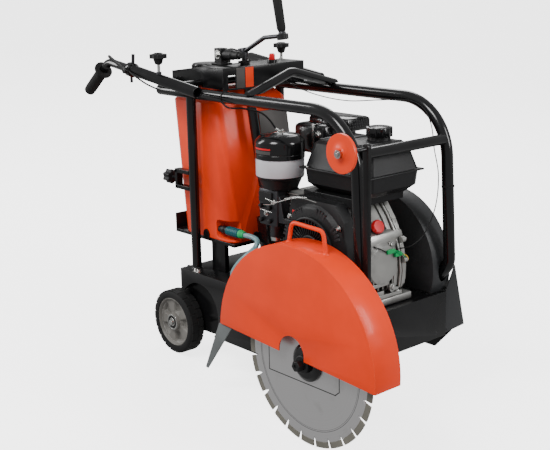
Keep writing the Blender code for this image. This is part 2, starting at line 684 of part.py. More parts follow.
def make_water_tank():
    """Hollow tank with its filler neck and the arched recess for the tap."""
    wall = 0.004
    neck = (-0.628, 0.200)
    body = join(tank_shape(0), rod((*neck, 0.600), (*neck, 0.680), 0.040, 32))
    recess = box((-0.520, 0.100, 0.208), (-0.400, 0.160, 0.262), 0.010)
    cavity = cut(tank_shape(wall), box((-0.524, 0.100, 0.190), (-0.400, 0.164, 0.266)))
    cut(body, recess, cavity, rod((*neck, 0.590), (*neck, 0.700), 0.036, 32))
    finish(body, "water_tank", "orange")
    lid = turned([(0, 0.6804), (0.0404, 0.6804), (0.0404, 0.668), (0.049, 0.668), (0.049, 0.700),
                  (0.046, 0.703), (0, 0.703)], (*neck, 0), (0, 0, 1), 32)
    finish(lid, "tank_lid", "black", (*neck, 0.6804))


def make_tray():
    """Shelf under the tank with its turned-up back edge and two flat posts."""
    shelf = box((-0.722, 0.125, 0.190), (-0.440, 0.405, 0.2000))
    lip = box((-0.722, 0.125, 0.195), (-0.717, 0.405, 0.248))
    posts = [box((-0.546, y, DECK_TOP + GAP), (-0.485, y + 0.015, 0.195)) for y in (0.125, 0.390)]
    finish(join(shelf, lip, *posts), "tray", "black")


def make_tap():
    """Outlet valve and quick connector, turned in one line, with the hose to the deck."""
    start = Vector((-0.5197, 0.138, 0.232))
    tap = turned([(0, 0), (0.010, 0), (0.010, 0.030), (0.012, 0.032), (0.012, 0.050), (0.014, 0.052),
                  (0.014, 0.090), (0.011, 0.094), (0.011, 0.112), (0, 0.112)], start, (1, 0, 0))
    finish(tap, "water_tap", "teal", start)
    stops = [(-0.4072, 0.138, 0.232), (-0.375, 0.138, 0.2325), (-0.346, 0.132, 0.228),
             (-0.341, 0.119, 0.212), (-0.360, 0.107, 0.190), (-0.388, 0.099, 0.163),
             (-0.407, 0.093, 0.136), (-0.412, 0.090, 0.1090)]
    finish(pipe(smooth_route(stops, 0.012), 0.0065, 2), "water_hose", "hose")


def make_console():
    """Folded console with its window, side panels, top and stop-switch boss."""
    front = box((-0.462, 0.1175, 0.640), (-0.459, 0.4235, 0.7025))
    top = box((-0.560, 0.1180, 0.700), (-0.460, 0.4230, 0.703))
    side = [(-0.697, BEAM_TOP + GAP), (-0.697, 0.683), (-0.561, 0.7015), (-0.4605, 0.7015),
            (-0.4605, BEAM_TOP + GAP)]
    sides = [prism(side, y, y + 0.003) for y in (0.117, 0.421)]
    boss = rod((STOP_BUTTON.x, STOP_BUTTON.y, 0.701), (STOP_BUTTON.x, STOP_BUTTON.y, 0.712), 0.014)
    join(front, top, *sides, boss)
    window = box((-0.47, 0.136, 0.645), (-0.45, 0.163, 0.681))
    screw_hole = rod(screw_point(0.68), screw_point(0.72), 0.0155)
    bar_hole = rod((HANDLE_BAR.x, 0.1, HANDLE_BAR.z), (HANDLE_BAR.x, 0.44, HANDLE_BAR.z), 0.0113)
    button_hole = rod((STOP_BUTTON.x, STOP_BUTTON.y, 0.704), (STOP_BUTTON.x, STOP_BUTTON.y, 0.72), 0.0094)
    cut(front, window, screw_hole, bar_hole, button_hole)
    finish(front, "console", "black")
    button = turned([(0, 0.7085), (0.009, 0.7085), (0.009, 0.726), (0.006, 0.730), (0, 0.730)],
                    (STOP_BUTTON.x, STOP_BUTTON.y, 0), (0, 0, 1))
    finish(button, "stop_button", "red", STOP_BUTTON)


def make_heat_shield():
    """Thin plate that stands between the engine and the tank."""
    lean = -0.175
    foot = -0.4125
    outline = [(foot, DECK_TOP + GAP), (foot + 0.003, DECK_TOP + GAP),
               (foot + 0.003 + lean * 0.46, 0.565), (foot + lean * 0.46, 0.565)]
    finish(prism(outline, 0.270, 0.380), "heat_shield", "grey")


# ---------------------------------------------------------------- handles, knobs and guide

def sleeve_point(x, y):
    """Point of a handle sleeve's axis at an x."""
    return SLEEVE_FRONT + SLEEVE_DIRECTION * ((x - SLEEVE_FRONT.x) / SLEEVE_DIRECTION.x) + Vector((0, y, 0))


def make_handle(side, y):
    """Sleeve with the bent handle tube that slides in it, its grip and its lock knob."""
    front, back = sleeve_point(-0.470, y), sleeve_point(-0.800, y)
    length = (back - front).length
    clamp = [(0.021, length - 0.025), (0.021, length - 0.003), (TUBE_RADIUS, length - 0.003)]
    profile = [(0.0128, 0), (TUBE_RADIUS, 0), (TUBE_RADIUS, length), (0.0128, length)]
    if side == "near":
        profile[2:2] = [(TUBE_RADIUS, length - 0.025)] + clamp
    finish(turned(profile, front, back - front), "handle_sleeve_" + side, "black", back)

    bend = sleeve_point(-0.907, y)
    end = Vector((-1.026, y, 0.608))
    run = (end - bend).normalized()
    tube = meshed(pipe(rounded_path([sleeve_point(-0.560, y), bend, end], 0.045, 6), 0.0125, 4))
    finish(tube, "handle_tube_" + side, "black", sleeve_point(-0.800, y))
    length = (end - bend).length
    grip = turned([(0, length + GAP), (0.0128, length + GAP), (0.0128, 0.040), (0.028, 0.040),
                   (0.028, 0.048), (0.0165, 0.052), (0.0165, length + 0.004),
                   (0.012, length + 0.007), (0, length + 0.007)], bend, run)
    finish(grip, "grip_" + side, "rubber", sleeve_point(-0.800, y))

    seat = sleeve_point(-0.649, y) + Vector((0, 0, 0.018))
    head = prism([(seat.x + u, seat.y + v) for u, v in lobed(7, 0.021, 0.005, 6)],
                 seat.z + 0.030, seat.z + 0.054, "Z")
    join(head, rod(seat, seat + Vector((0, 0, 0.035)), 0.004))
    finish(head, "lock_knob_" + side, "plastic", seat)


def make_handle_bar():
    reach = TUBE_RADIUS + GAP
    low, high = NEAR_Y - HANDLE_OFFSET + reach, FAR_Y + HANDLE_OFFSET - reach
    bar = rod((HANDLE_BAR.x, low, HANDLE_BAR.z), (HANDLE_BAR.x, high, HANDLE_BAR.z), 0.011)
    finish(bar, "handle_bar", "black")


def make_throttle():
    """Lever on the near sleeve's clamp, and the cable to the carburettor."""
    pivot = sleeve_point(-0.786, NEAR_Y - HANDLE_OFFSET) + Vector((0, -0.0215, 0))
    lever = prism(capsule((pivot.x, pivot.z), (-0.868, 0.722), 0.0045), pivot.y - 0.004, pivot.y)
    join(lever, rod(pivot, pivot + Vector((0, -0.008, 0)), 0.009))
    finish(lever, "throttle_lever", "plastic", pivot)
    stops = [(-0.7735, 0.0168, 0.684), (-0.725, 0.013, 0.668), (-0.660, 0.015, 0.648),
             (-0.580, 0.034, 0.631), (-0.490, 0.066, 0.623), (-0.430, 0.0795, 0.619),
             (-0.400, 0.086, 0.603), (-0.380, 0.125, 0.598), (-0.362, 0.180, 0.578),
             (-0.354, 0.225, 0.520), (-0.340, 0.243, 0.440), (-0.305, 0.235, 0.362),
             (-0.290, 0.2078, 0.340)]
    finish(pipe(smooth_route(stops, 0.013), 0.0025, 2), "throttle_cable", "rubber")


def make_stop_wire():
    """Thin wire from the console along the far beam and leg to the engine."""
    stops = [(-0.4570, 0.340, 0.660), (-0.435, 0.350, 0.640), (-0.360, 0.385, 0.612),
             (-0.270, 0.417, 0.600), (-0.150, 0.4215, 0.612), (-0.048, 0.4215, 0.620),
             (0.008, 0.4215, 0.602), (0.036, 0.4200, 0.560), (0.048, 0.4190, 0.500),
             (0.064, 0.4190, 0.430), (0.064, 0.4100, 0.350), (0.074, 0.3600, 0.290),
             (0.072, 0.3120, 0.262), (0.0435, 0.2900, 0.250)]
    finish(pipe(smooth_route(stops, 0.017), 0.0015, 2), "stop_wire", "rubber")


def tank_bracket():
    """Square loop welded behind the near rear post."""
    bracket = box((-0.668, 0.089, 0.339), (POST_X - 0.010, 0.111, 0.399), 0.003)
    return cut(bracket, box((-0.655, 0.08, 0.352), (-0.618, 0.12, 0.386)))


def make_clamp_knob():
    """Lobed knob screwed into the bracket from behind."""
    seat = Vector((-0.6684, 0.100, 0.369))
    head = prism([(seat.y + u, seat.z + v) for u, v in lobed(7, 0.022, 0.005, 6)],
                 seat.x - 0.048, seat.x - 0.020, "X")
    join(head, rod(seat, seat + Vector((-0.025, 0, 0)), 0.004))
    finish(head, "clamp_knob", "plastic", seat)


def make_guide():
    """Folding front pointer: flat bar with its pins, and the guide wheel."""
    wheel = Vector((0.1215, 0, 0.552))
    outline = capsule((GUIDE_PIVOT.x, GUIDE_PIVOT.z), (wheel.x, wheel.z + 0.004), 0.009)
    bar = prism(outline, 0.079, 0.091)
    pin = rod((GUIDE_PIVOT.x, 0.067, GUIDE_PIVOT.z), (GUIDE_PIVOT.x, 0.1055, GUIDE_PIVOT.z), 0.005)
    axle = rod((wheel.x, 0.085, wheel.z), (wheel.x, -0.014, wheel.z), 0.005)
    nut = rod((wheel.x, -0.0068, wheel.z), (wheel.x, -0.014, wheel.z), 0.009)
    finish(join(bar, pin, axle, nut), "guide_bar", "black", GUIDE_PIVOT)
    disc = turned([(0.0053, -0.0065), (0.012, -0.0065), (0.014, -0.004), (0.048, -0.004), (0.048, 0.004),
                   (0.014, 0.004), (0.012, 0.0065), (0.0053, 0.0065)], wheel, (0, 1, 0), 28)
    finish(disc, "guide_wheel", "orange", wheel)


def stand_machine():
    """Tip the machine nose-up on its wheels and centre it over the origin."""
    machine.rotation_euler = (0, -TRANSPORT_PITCH, 0)
    machine.location = (0, 0, GROUND_DROP)
    bpy.context.view_layer.update()
    graph = bpy.context.evaluated_depsgraph_get()
    spots = []
    for item in machine.children:
        mesh = item.evaluated_get(graph).to_mesh()
        spots += [item.matrix_world @ vertex.co for vertex in mesh.vertices]
    low = Vector([min(spot[axis] for spot in spots) for axis in range(3)])
    high = Vector([max(spot[axis] for spot in spots) for axis in range(3)])
    machine.location += Vector((-(low.x + high.x) / 2, -(low.y + high.y) / 2, -low.z))
    bpy.context.view_layer.update()



for item in list(bpy.data.objects):
    bpy.data.objects.remove(item)
machine = bpy.data.objects.new("machine", None)
bpy.context.scene.collection.objects.link(machine)

make_chassis()
make_wing()
make_frame("frame_near", NEAR_Y, tank_bracket())
make_frame("frame_far", FAR_Y)
make_cross_tube()
make_bail()
make_rear_wheels()
make_carriage()
make_depth_screw()
make_blade()
make_blade_shaft()
make_bearings()
make_guard()
make_drive()
make_engine()
make_fan_cover()
make_fuel_tank()
make_air_cleaner()
make_muffler()
make_tray()
make_water_tank()
make_tap()
make_console()
make_heat_shield()
make_handle("near", NEAR_Y - HANDLE_OFFSET)
make_handle("far", FAR_Y + HANDLE_OFFSET)
make_handle_bar()
make_throttle()
make_stop_wire()
make_clamp_knob()
make_guide()
stand_machine()
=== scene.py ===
"""Looks of the walk-behind concrete saw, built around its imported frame.

Pieces are made in the machine's own level coordinates, in metres from the blade centre: +X forward,
+Y to the far side, +Z up. TO_WORLD carries them into the frame, where the machine stands nose-up.
"""
import json
from math import cos, pi, radians, sin

import bmesh
import bpy
from mathutils import Matrix, Vector


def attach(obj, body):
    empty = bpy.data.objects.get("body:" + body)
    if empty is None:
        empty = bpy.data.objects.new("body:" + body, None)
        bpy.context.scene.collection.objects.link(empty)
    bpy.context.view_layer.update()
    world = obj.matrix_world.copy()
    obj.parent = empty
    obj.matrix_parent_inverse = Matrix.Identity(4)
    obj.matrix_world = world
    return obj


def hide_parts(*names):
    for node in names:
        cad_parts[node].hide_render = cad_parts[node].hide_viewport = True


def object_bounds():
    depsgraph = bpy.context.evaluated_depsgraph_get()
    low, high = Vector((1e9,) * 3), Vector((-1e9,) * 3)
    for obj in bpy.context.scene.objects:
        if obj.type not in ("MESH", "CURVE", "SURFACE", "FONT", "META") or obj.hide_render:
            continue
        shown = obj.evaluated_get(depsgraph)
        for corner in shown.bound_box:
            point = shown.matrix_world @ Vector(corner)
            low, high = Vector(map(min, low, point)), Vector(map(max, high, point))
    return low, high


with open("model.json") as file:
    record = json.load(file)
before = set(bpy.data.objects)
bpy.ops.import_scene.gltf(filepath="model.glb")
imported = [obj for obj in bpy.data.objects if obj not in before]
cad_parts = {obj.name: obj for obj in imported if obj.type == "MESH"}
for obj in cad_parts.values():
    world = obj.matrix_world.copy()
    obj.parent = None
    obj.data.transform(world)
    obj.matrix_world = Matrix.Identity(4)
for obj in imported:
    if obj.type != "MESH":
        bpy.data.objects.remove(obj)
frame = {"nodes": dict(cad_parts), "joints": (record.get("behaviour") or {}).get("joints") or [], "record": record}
cad_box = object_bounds()

ROOT = "machine_frame"
JOINTS = {joint["name"]: joint for joint in frame["joints"]}
MOUNTS = {mount["name"]: mount for mount in frame["record"]["mounts"]}
AHEAD = Vector(MOUNTS["front_face"]["axis"])
ACROSS = Vector((0, 1, 0))
UP = AHEAD.cross(ACROSS)
TO_WORLD = (Matrix.Translation(Vector(JOINTS["blade_spin"]["pos_m"]))
            @ Matrix((AHEAD, ACROSS, UP)).transposed().to_4x4())
TO_MACHINE = TO_WORLD.inverted()

# Places of features inside a CAD node, which the frame doesn't name, in machine coordinates.
REAR_POST_X = -0.588
HANDLE_BEND = Vector((-0.907, 0, 0.7022))
HANDLE_END = Vector((-1.026, 0, 0.608))
GUARD_CENTRE = Vector((-0.030, 0.015, 0.015))
GUARD_RADIUS = 0.2895
STARTER_CENTRE = Vector((-0.095, 0.1003, 0.262))
CASE_X, CASE_Z = -0.050, 0.232
CASE_BOLT_TURNS, CASE_BOLT_REACH = (-38, -8, 24, 58, 96), 0.098
BELT_COVER_X, BELT_COVER_Z, BELT_COVER_REACH = -0.134, 0.164, 0.186


def span(node):
    """Lowest and highest corner of a CAD node in machine coordinates."""
    spots = [TO_MACHINE @ vertex.co for vertex in frame["nodes"][node].data.vertices]
    low = Vector([min(spot[axis] for spot in spots) for axis in range(3)])
    high = Vector([max(spot[axis] for spot in spots) for axis in range(3)])
    return low, high


def middle(node):
    """Centre of a CAD node's box."""
    low, high = span(node)
    return (low + high) / 2


def pivot(joint):
    """A joint's point in machine coordinates."""
    return TO_MACHINE @ Vector(JOINTS[joint]["pos_m"])


def direction(joint):
    """A joint's axis in machine coordinates."""
    return (TO_MACHINE.to_3x3() @ Vector(JOINTS[joint]["axis"])).normalized()


# ---------------------------------------------------------------- materials

def new_shader(name):
    """Empty material with a Principled shader; returns it, its nodes, its links and the shader."""
    finish = bpy.data.materials.new(name)
    finish.use_nodes = True
    tree = finish.node_tree
    return finish, tree.nodes, tree.links, tree.nodes["Principled BSDF"]


def noise(nodes, links, coordinates, scale, detail=3.0, roughness=0.55):
    """Noise over the coordinates."""
    texture = nodes.new("ShaderNodeTexNoise")
    texture.inputs["Scale"].default_value = scale
    texture.inputs["Detail"].default_value = detail
    texture.inputs["Roughness"].default_value = roughness
    links.new(coordinates, texture.inputs["Vector"])
    return texture.outputs["Fac"]


def ramp(nodes, links, source, low, high, low_value=0.0, high_value=1.0):
    """Map source from one range to another, clamped."""
    mapping = nodes.new("ShaderNodeMapRange")
    mapping.inputs["From Min"].default_value = low
    mapping.inputs["From Max"].default_value = high
    mapping.inputs["To Min"].default_value = low_value
    mapping.inputs["To Max"].default_value = high_value
    links.new(source, mapping.inputs["Value"])
    return mapping.outputs["Result"]


def mixed(nodes, links, factor, first, second):
    """Mix two colours; each is a colour tuple or a socket."""
    mix = nodes.new("ShaderNodeMix")
    mix.data_type = "RGBA"
    links.new(factor, mix.inputs["Factor"])
    for socket, value in ((mix.inputs["A"], first), (mix.inputs["B"], second)):
        if isinstance(value, tuple):
            socket.default_value = (*value, 1)
        else:
            links.new(value, socket)
    return mix.outputs["Result"]


def edge_wear(nodes, links, radius):
    """High along convex edges, where the rounded normal leaves the true one."""
    bevel = nodes.new("ShaderNodeBevel")
    bevel.samples = 4
    bevel.inputs["Radius"].default_value = radius
    geometry = nodes.new("ShaderNodeNewGeometry")
    dot = nodes.new("ShaderNodeVectorMath")
    dot.operation = "DOT_PRODUCT"
    links.new(bevel.outputs["Normal"], dot.inputs[0])
    links.new(geometry.outputs["Normal"], dot.inputs[1])
    return ramp(nodes, links, dot.outputs["Value"], 0.99, 0.86)


def creases(nodes, links, reach):
    """High in corners and grooves, where little light gets in."""
    shade = nodes.new("ShaderNodeAmbientOcclusion")
    shade.samples = 6
    shade.inputs["Distance"].default_value = reach
    return ramp(nodes, links, shade.outputs["AO"], 0.80, 0.25)


def times(nodes, links, first, second):
    """Product of two values; each is a number or a socket."""
    product = nodes.new("ShaderNodeMath")
    product.operation = "MULTIPLY"
    for socket, value in zip(product.inputs, (first, second)):
        if isinstance(value, float):
            socket.default_value = value
        else:
            links.new(value, socket)
    return product.outputs["Value"]


def surface(name, colour, roughness, metallic=0.0, coat=0.0, grain=400.0, bump=0.15, mottle=0.10,
            wear=None, wear_radius=0.0012, dirt=None, painted_crease_shade=None, specular=0.4):
    """Procedural finish: mottled colour, uneven gloss, fine bump, worn edges, settled dust and painted shade in
    creases.
    """
    finish, nodes, links, shader = new_shader(name)
    coordinates = nodes.new("ShaderNodeTexCoord").outputs["Object"]
    broad = noise(nodes, links, coordinates, 9.0)
    fine = noise(nodes, links, coordinates, grain, 4.0)
    darker = tuple(channel * (1 - mottle) for channel in colour)
    lighter = tuple(min(1.0, channel * (1 + mottle) + 0.002) for channel in colour)
    shade = mixed(nodes, links, ramp(nodes, links, broad, 0.3, 0.7), darker, lighter)
    gloss = ramp(nodes, links, broad, 0.25, 0.75, max(0.04, roughness - 0.06), min(1.0, roughness + 0.06))
    if dirt:
        patches = times(nodes, links, ramp(nodes, links, noise(nodes, links, coordinates, 22.0, 6.0),
                                           0.55, 0.75), 0.35)
        shade = mixed(nodes, links, patches, shade, dirt)
    # Painted shade: corners and grooves darkened by an ambient occlusion mask, where little light gets in.
    if painted_crease_shade:
        shade = mixed(nodes, links, creases(nodes, links, 0.022), shade, painted_crease_shade)
    if wear:
        scuffs = ramp(nodes, links, noise(nodes, links, coordinates, 130.0, 4.0), 0.38, 0.62)
        mask = times(nodes, links, edge_wear(nodes, links, wear_radius), scuffs)
        shade = mixed(nodes, links, mask, shade, wear)
    links.new(shade, shader.inputs["Base Color"])
    links.new(gloss, shader.inputs["Roughness"])
    shader.inputs["Metallic"].default_value = metallic
    shader.inputs["Specular IOR Level"].default_value = specular
    shader.inputs["Coat Weight"].default_value = coat
    shader.inputs["Coat Roughness"].default_value = 0.12
    ripple = nodes.new("ShaderNodeBump")
    ripple.inputs["Strength"].default_value = bump
    ripple.inputs["Distance"].default_value = 0.0004
    links.new(fine, ripple.inputs["Height"])
    links.new(ripple.outputs["Normal"], shader.inputs["Normal"])
    return finish


def brushed_disc(name, colour):
    """Steel ground in circles about the blade axis, with faint rings."""
    finish, nodes, links, shader = new_shader(name)
    coordinates = nodes.new("ShaderNodeTexCoord").outputs["Object"]
    centre = nodes.new("ShaderNodeVectorMath")
    centre.operation = "SUBTRACT"
    links.new(coordinates, centre.inputs[0])
    centre.inputs[1].default_value = TO_WORLD.translation
    length = nodes.new("ShaderNodeVectorMath")
    length.operation = "LENGTH"
    links.new(centre.outputs["Vector"], length.inputs[0])
    combine = nodes.new("ShaderNodeCombineXYZ")
    links.new(length.outputs["Value"], combine.inputs["X"])
    rings = noise(nodes, links, combine.outputs["Vector"], 900.0, 2.0)
    broad = noise(nodes, links, coordinates, 14.0, 5.0)
    darker = tuple(channel * 0.80 for channel in colour)
    shade = mixed(nodes, links, ramp(nodes, links, rings, 0.35, 0.65), darker, colour)
    shade = mixed(nodes, links, ramp(nodes, links, broad, 0.58, 0.80, 0.0, 0.4), shade, (0.30, 0.29, 0.27))
    links.new(shade, shader.inputs["Base Color"])
    links.new(ramp(nodes, links, rings, 0.3, 0.7, 0.28, 0.44), shader.inputs["Roughness"])
    shader.inputs["Metallic"].default_value = 0.9
    ripple = nodes.new("ShaderNodeBump")
    ripple.inputs["Strength"].default_value = 0.25
    ripple.inputs["Distance"].default_value = 0.0002
    links.new(rings, ripple.inputs["Height"])
    links.new(ripple.outputs["Normal"], shader.inputs["Normal"])
    return finish


def clear_hose(name, colour):
    """Milky hose that lets some light through."""
    finish = surface(name, colour, 0.28, grain=200.0, bump=0.05, mottle=0.12)
    shader = finish.node_tree.nodes["Principled BSDF"]
    shader.inputs["Transmission Weight"].default_value = 0.35
    shader.inputs["IOR"].default_value = 1.4
    return finish


FINISH = {
    "orange_paint": surface("orange_paint", (0.95, 0.050, 0.004), 0.36, coat=0.10, bump=0.10, mottle=0.05,
                            wear=(0.90, 0.22, 0.10), wear_radius=0.0010, specular=0.22),
    "orange_plastic": surface("orange_plastic", (0.92, 0.050, 0.006), 0.38, coat=0.06, grain=260.0,
                              bump=0.10, mottle=0.06, wear=(0.92, 0.20, 0.08), specular=0.30),
    "black_paint": surface("black_paint", (0.0045, 0.0045, 0.0050), 0.30, coat=0.06, bump=0.12, mottle=0.3,
                           wear=(0.10, 0.10, 0.10), dirt=(0.012, 0.0115, 0.011), specular=0.26),
    "black_plastic": surface("black_plastic", (0.0075, 0.0075, 0.0082), 0.44, grain=900.0, bump=0.35,
                             mottle=0.20, wear=(0.05, 0.05, 0.05), dirt=(0.020, 0.019, 0.018),
                             specular=0.30),
    "gloss_black": surface("gloss_black", (0.004, 0.004, 0.0045), 0.17, coat=0.22, bump=0.04, mottle=0.2,
                           wear=(0.07, 0.07, 0.07), specular=0.34),
    "grey_plastic": surface("grey_plastic", (0.030, 0.031, 0.033), 0.46, grain=800.0, bump=0.3,
                            mottle=0.15, wear=(0.11, 0.11, 0.11), specular=0.35),
    "rubber": surface("rubber", (0.0085, 0.0085, 0.0085), 0.68, grain=500.0, bump=0.45, mottle=0.25,
                      wear=(0.035, 0.034, 0.032), dirt=(0.032, 0.030, 0.027), specular=0.25),
    "tyre": surface("tyre", (0.0085, 0.0085, 0.0085), 0.70, grain=450.0, bump=0.45, mottle=0.25,
                    wear=(0.035, 0.034, 0.032), dirt=(0.034, 0.031, 0.028), specular=0.25),
    "hub_grey": surface("hub_grey", (0.175, 0.166, 0.152), 0.45, grain=500.0, bump=0.2, mottle=0.12,
                        wear=(0.45, 0.44, 0.42), dirt=(0.12, 0.115, 0.105), specular=0.3),
    "zinc": surface("zinc", (0.55, 0.55, 0.53), 0.26, metallic=1.0, grain=300.0, bump=0.08, mottle=0.15,
                    wear=(0.85, 0.85, 0.84)),
    "dark_steel": surface("dark_steel", (0.055, 0.055, 0.060), 0.36, metallic=0.85, grain=350.0, bump=0.15,
                          mottle=0.20, wear=(0.40, 0.40, 0.40)),
    # The cast finish's crease colour is painted shade, darkening its corners and grooves.
    "cast": surface("cast", (0.46, 0.46, 0.44), 0.36, metallic=0.75, grain=650.0, bump=0.55, mottle=0.16,
                    wear=(0.80, 0.80, 0.78), dirt=(0.14, 0.135, 0.125), painted_crease_shade=(0.05, 0.048, 0.045)),
    "white_plastic": surface("white_plastic", (0.60, 0.60, 0.63), 0.35, grain=500.0, bump=0.1, mottle=0.05,
                             wear=(0.80, 0.80, 0.80), dirt=(0.48, 0.47, 0.46)),
    "red_plastic": surface("red_plastic", (0.70, 0.010, 0.016), 0.34, coat=0.1, bump=0.08, mottle=0.08,
                           wear=(0.80, 0.12, 0.10), specular=0.3),
    "teal_plastic": surface("teal_plastic", (0.004, 0.095, 0.115), 0.38, grain=600.0, bump=0.2, mottle=0.12,
                            wear=(0.03, 0.22, 0.24), specular=0.3),
    "green_plastic": surface("green_plastic", (0.010, 0.40, 0.115), 0.36, bump=0.12, mottle=0.10,
                             wear=(0.10, 0.60, 0.28), specular=0.3),
    "yellow_wire": surface("yellow_wire", (0.75, 0.45, 0.04), 0.40, bump=0.1, mottle=0.1,
                           wear=(0.85, 0.65, 0.2)),
    "shield": surface("shield", (0.085, 0.079, 0.076), 0.52, metallic=0.3, grain=420.0, bump=0.3,
                      mottle=0.12, wear=(0.25, 0.24, 0.23), specular=0.3),
    "flap": surface("flap", (0.13, 0.14, 0.14), 0.50, grain=350.0, bump=0.35, mottle=0.2,
                    wear=(0.35, 0.36, 0.36), dirt=(0.24, 0.23, 0.20), specular=0.3),
    "diamond": surface("diamond", (0.20, 0.19, 0.16), 0.60, metallic=0.3, grain=1500.0, bump=0.8,
                       mottle=0.2, wear=(0.38, 0.36, 0.32), specular=0.3),
    # Dark finish for print, and for painted shade: dark fills standing in for holes, slots, vents and gaps between
    # fins.
    "ink_and_painted_shade": surface("ink_and_painted_shade", (0.020, 0.020, 0.022), 0.50, grain=900.0, bump=0.1, mottle=0.3,
                   wear=(0.10, 0.10, 0.10), specular=0.3),
    "brushed_steel": brushed_disc("brushed_steel", (0.66, 0.65, 0.65)),
    "hose": clear_hose("hose", (0.26, 0.47, 0.50)),
}


# ---------------------------------------------------------------- mesh helpers

def link(data, name):
    """Put data into the scene as an object."""
    item = bpy.data.objects.new(name, data)
    bpy.context.scene.collection.objects.link(item)
    return item


def place(shape, name, finish, body=ROOT, nodes=(), bevel=0.0, angle=30, segments=2):
    """Make a riding piece of a bmesh in machine coordinates, with rounded edges."""
    mesh = bpy.data.meshes.new(name)
    bmesh.ops.recalc_face_normals(shape, faces=shape.faces)
    shape.to_mesh(mesh)
    shape.free()
    mesh.transform(TO_WORLD)
    return settle(link(mesh, name), finish, body, nodes, bevel, angle, segments)


def settle(item, finish, body=ROOT, nodes=(), bevel=0.0, angle=30, segments=2):
    """Paint, smooth and bevel a piece that is in place, and put it on its body."""
    item.data.materials.clear()
    item.data.materials.append(FINISH[finish])
    if item.type == "MESH":
        item.data.shade_smooth()
        item.data.set_sharp_from_angle(angle=radians(angle))
        if bevel:
            item.data.set_sharp_from_angle(angle=pi)
            edge = item.modifiers.new("edge", "BEVEL")
            edge.width = bevel
            edge.segments = segments
            edge.limit_method = "ANGLE"
            edge.angle_limit = radians(angle)
            edge.harden_normals = True
            edge.miter_outer = "MITER_ARC"
    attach(item, body)
    if nodes:
        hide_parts(*nodes)
    return item


def body_of(node):
    """The body that a CAD node belongs to."""
    return next(body for body, nodes in frame["record"]["behaviour"]["bodies"].items() if node in nodes)


def refine(node, finish, bevel=0.0008, angle=30):
    """Stand a clean copy of a CAD node in for it, with rounded edges and smooth curves."""
    shape = bmesh.new()
    shape.from_mesh(frame["nodes"][node].data)
    bmesh.ops.remove_doubles(shape, verts=shape.verts, dist=0.00002)
    bmesh.ops.dissolve_limit(shape, angle_limit=radians(0.6), verts=shape.verts, edges=shape.edges)
    mesh = bpy.data.meshes.new("fine_" + node)
    shape.to_mesh(mesh)
    shape.free()
    return settle(link(mesh, "fine_" + node), finish, body_of(node), (node,), bevel, angle)


def block(shape, low, high):
    """Add a box between two corners to a bmesh."""
    low = Vector(low)
    high = Vector(high)
    made = bmesh.ops.create_cube(shape, size=1)["verts"]
    bmesh.ops.scale(shape, vec=high - low, verts=made)
    bmesh.ops.translate(shape, vec=(low + high) / 2, verts=made)
    return made


def revolve(shape, profile, origin, axis, steps=48, start=0.0):
    """Add a turned body to a bmesh from (radius, distance) points; zero radius closes an end."""
    turn = Vector(axis).normalized().to_track_quat("Z", "Y").to_matrix()
    rings = []
    for radius, distance in profile:
        ring = []
        for index in range(steps if radius > 0 else 1):
            angle = start + 2 * pi * index / steps
            spot = turn @ Vector((radius * cos(angle), radius * sin(angle), distance)) + Vector(origin)
            ring.append(shape.verts.new(spot))
        rings.append(ring)
    pairs = list(zip(rings, rings[1:]))
    if profile[0][0] > 0:
        pairs.append((rings[-1], rings[0]))
    for first, second in pairs:
        for index in range(steps):
            after = (index + 1) % steps
            corners = [first[index % len(first)], first[after % len(first)],
                       second[after % len(second)], second[index % len(second)]]
            shape.faces.new(list(dict.fromkeys(corners)))


def extrude(shape, outline, origin, across, upward, depth):
    """Add a prism to a bmesh: outline pairs along two directions, extruded by the depth vector."""
    origin = Vector(origin)
    near = [shape.verts.new(origin + Vector(across) * u + Vector(upward) * v) for u, v in outline]
    far = [shape.verts.new(vertex.co + Vector(depth)) for vertex in near]
    shape.faces.new(near)
    shape.faces.new(far)
    for index in range(len(near)):
        after = (index + 1) % len(near)
        shape.faces.new((near[index], near[after], far[after], far[index]))


def hex_bolt(shape, origin, axis, across=0.012, height=0.006, washer=True):
    """Add a hexagon bolt head on a washer, standing on origin along axis."""
    axis = Vector(axis).normalized()
    rise = 0.0
    if washer:
        revolve(shape, [(0, 0), (across * 0.95, 0), (across * 0.95, 0.0014), (0, 0.0014)], origin, axis, 24)
        rise = 0.0014
    radius = across / 2 / cos(pi / 6)
    revolve(shape, [(0, rise), (radius, rise), (radius, rise + height * 0.8),
                    (radius * 0.86, rise + height), (0, rise + height)], origin, axis, 6)


def lobed(reach, swing, lobes, steps):
    """Outline of a knob with rounded lobes."""
    outline = []
    for index in range(steps):
        angle = 2 * pi * index / steps
        radius = reach + swing * cos(lobes * angle)
        outline.append((radius * cos(angle), radius * sin(angle)))
    return outline


def turned(name, finish, profile, origin, axis, steps=48, start=0.0, **placing):
    """Place a piece turned from one profile."""
    shape = bmesh.new()
    revolve(shape, profile, origin, axis, steps, start)
    return place(shape, name, finish, **placing)


def boxes(name, finish, corners, **placing):
    """Place a piece made of boxes, each given by its two corners."""
    shape = bmesh.new()
    for low, high in corners:
        block(shape, low, high)
    return place(shape, name, finish, **placing)


def smooth_points(stops, count):
    """Even-ish points along a Catmull-Rom curve through the stops."""
    stops = [Vector(stop) for stop in stops]
    ends = [2 * stops[0] - stops[1]] + stops + [2 * stops[-1] - stops[-2]]
    spans = len(stops) - 1
    route = []
    for index in range(count + 1):
        place_along = min(index / count * spans, spans - 1e-6)
        first = int(place_along)
        t = place_along - first
        a, b, c, d = ends[first:first + 4]
        route.append(0.5 * (2 * b + (c - a) * t + (2 * a - 5 * b + 4 * c - d) * t * t
                            + (3 * b - a - 3 * c + d) * t ** 3))
    return route


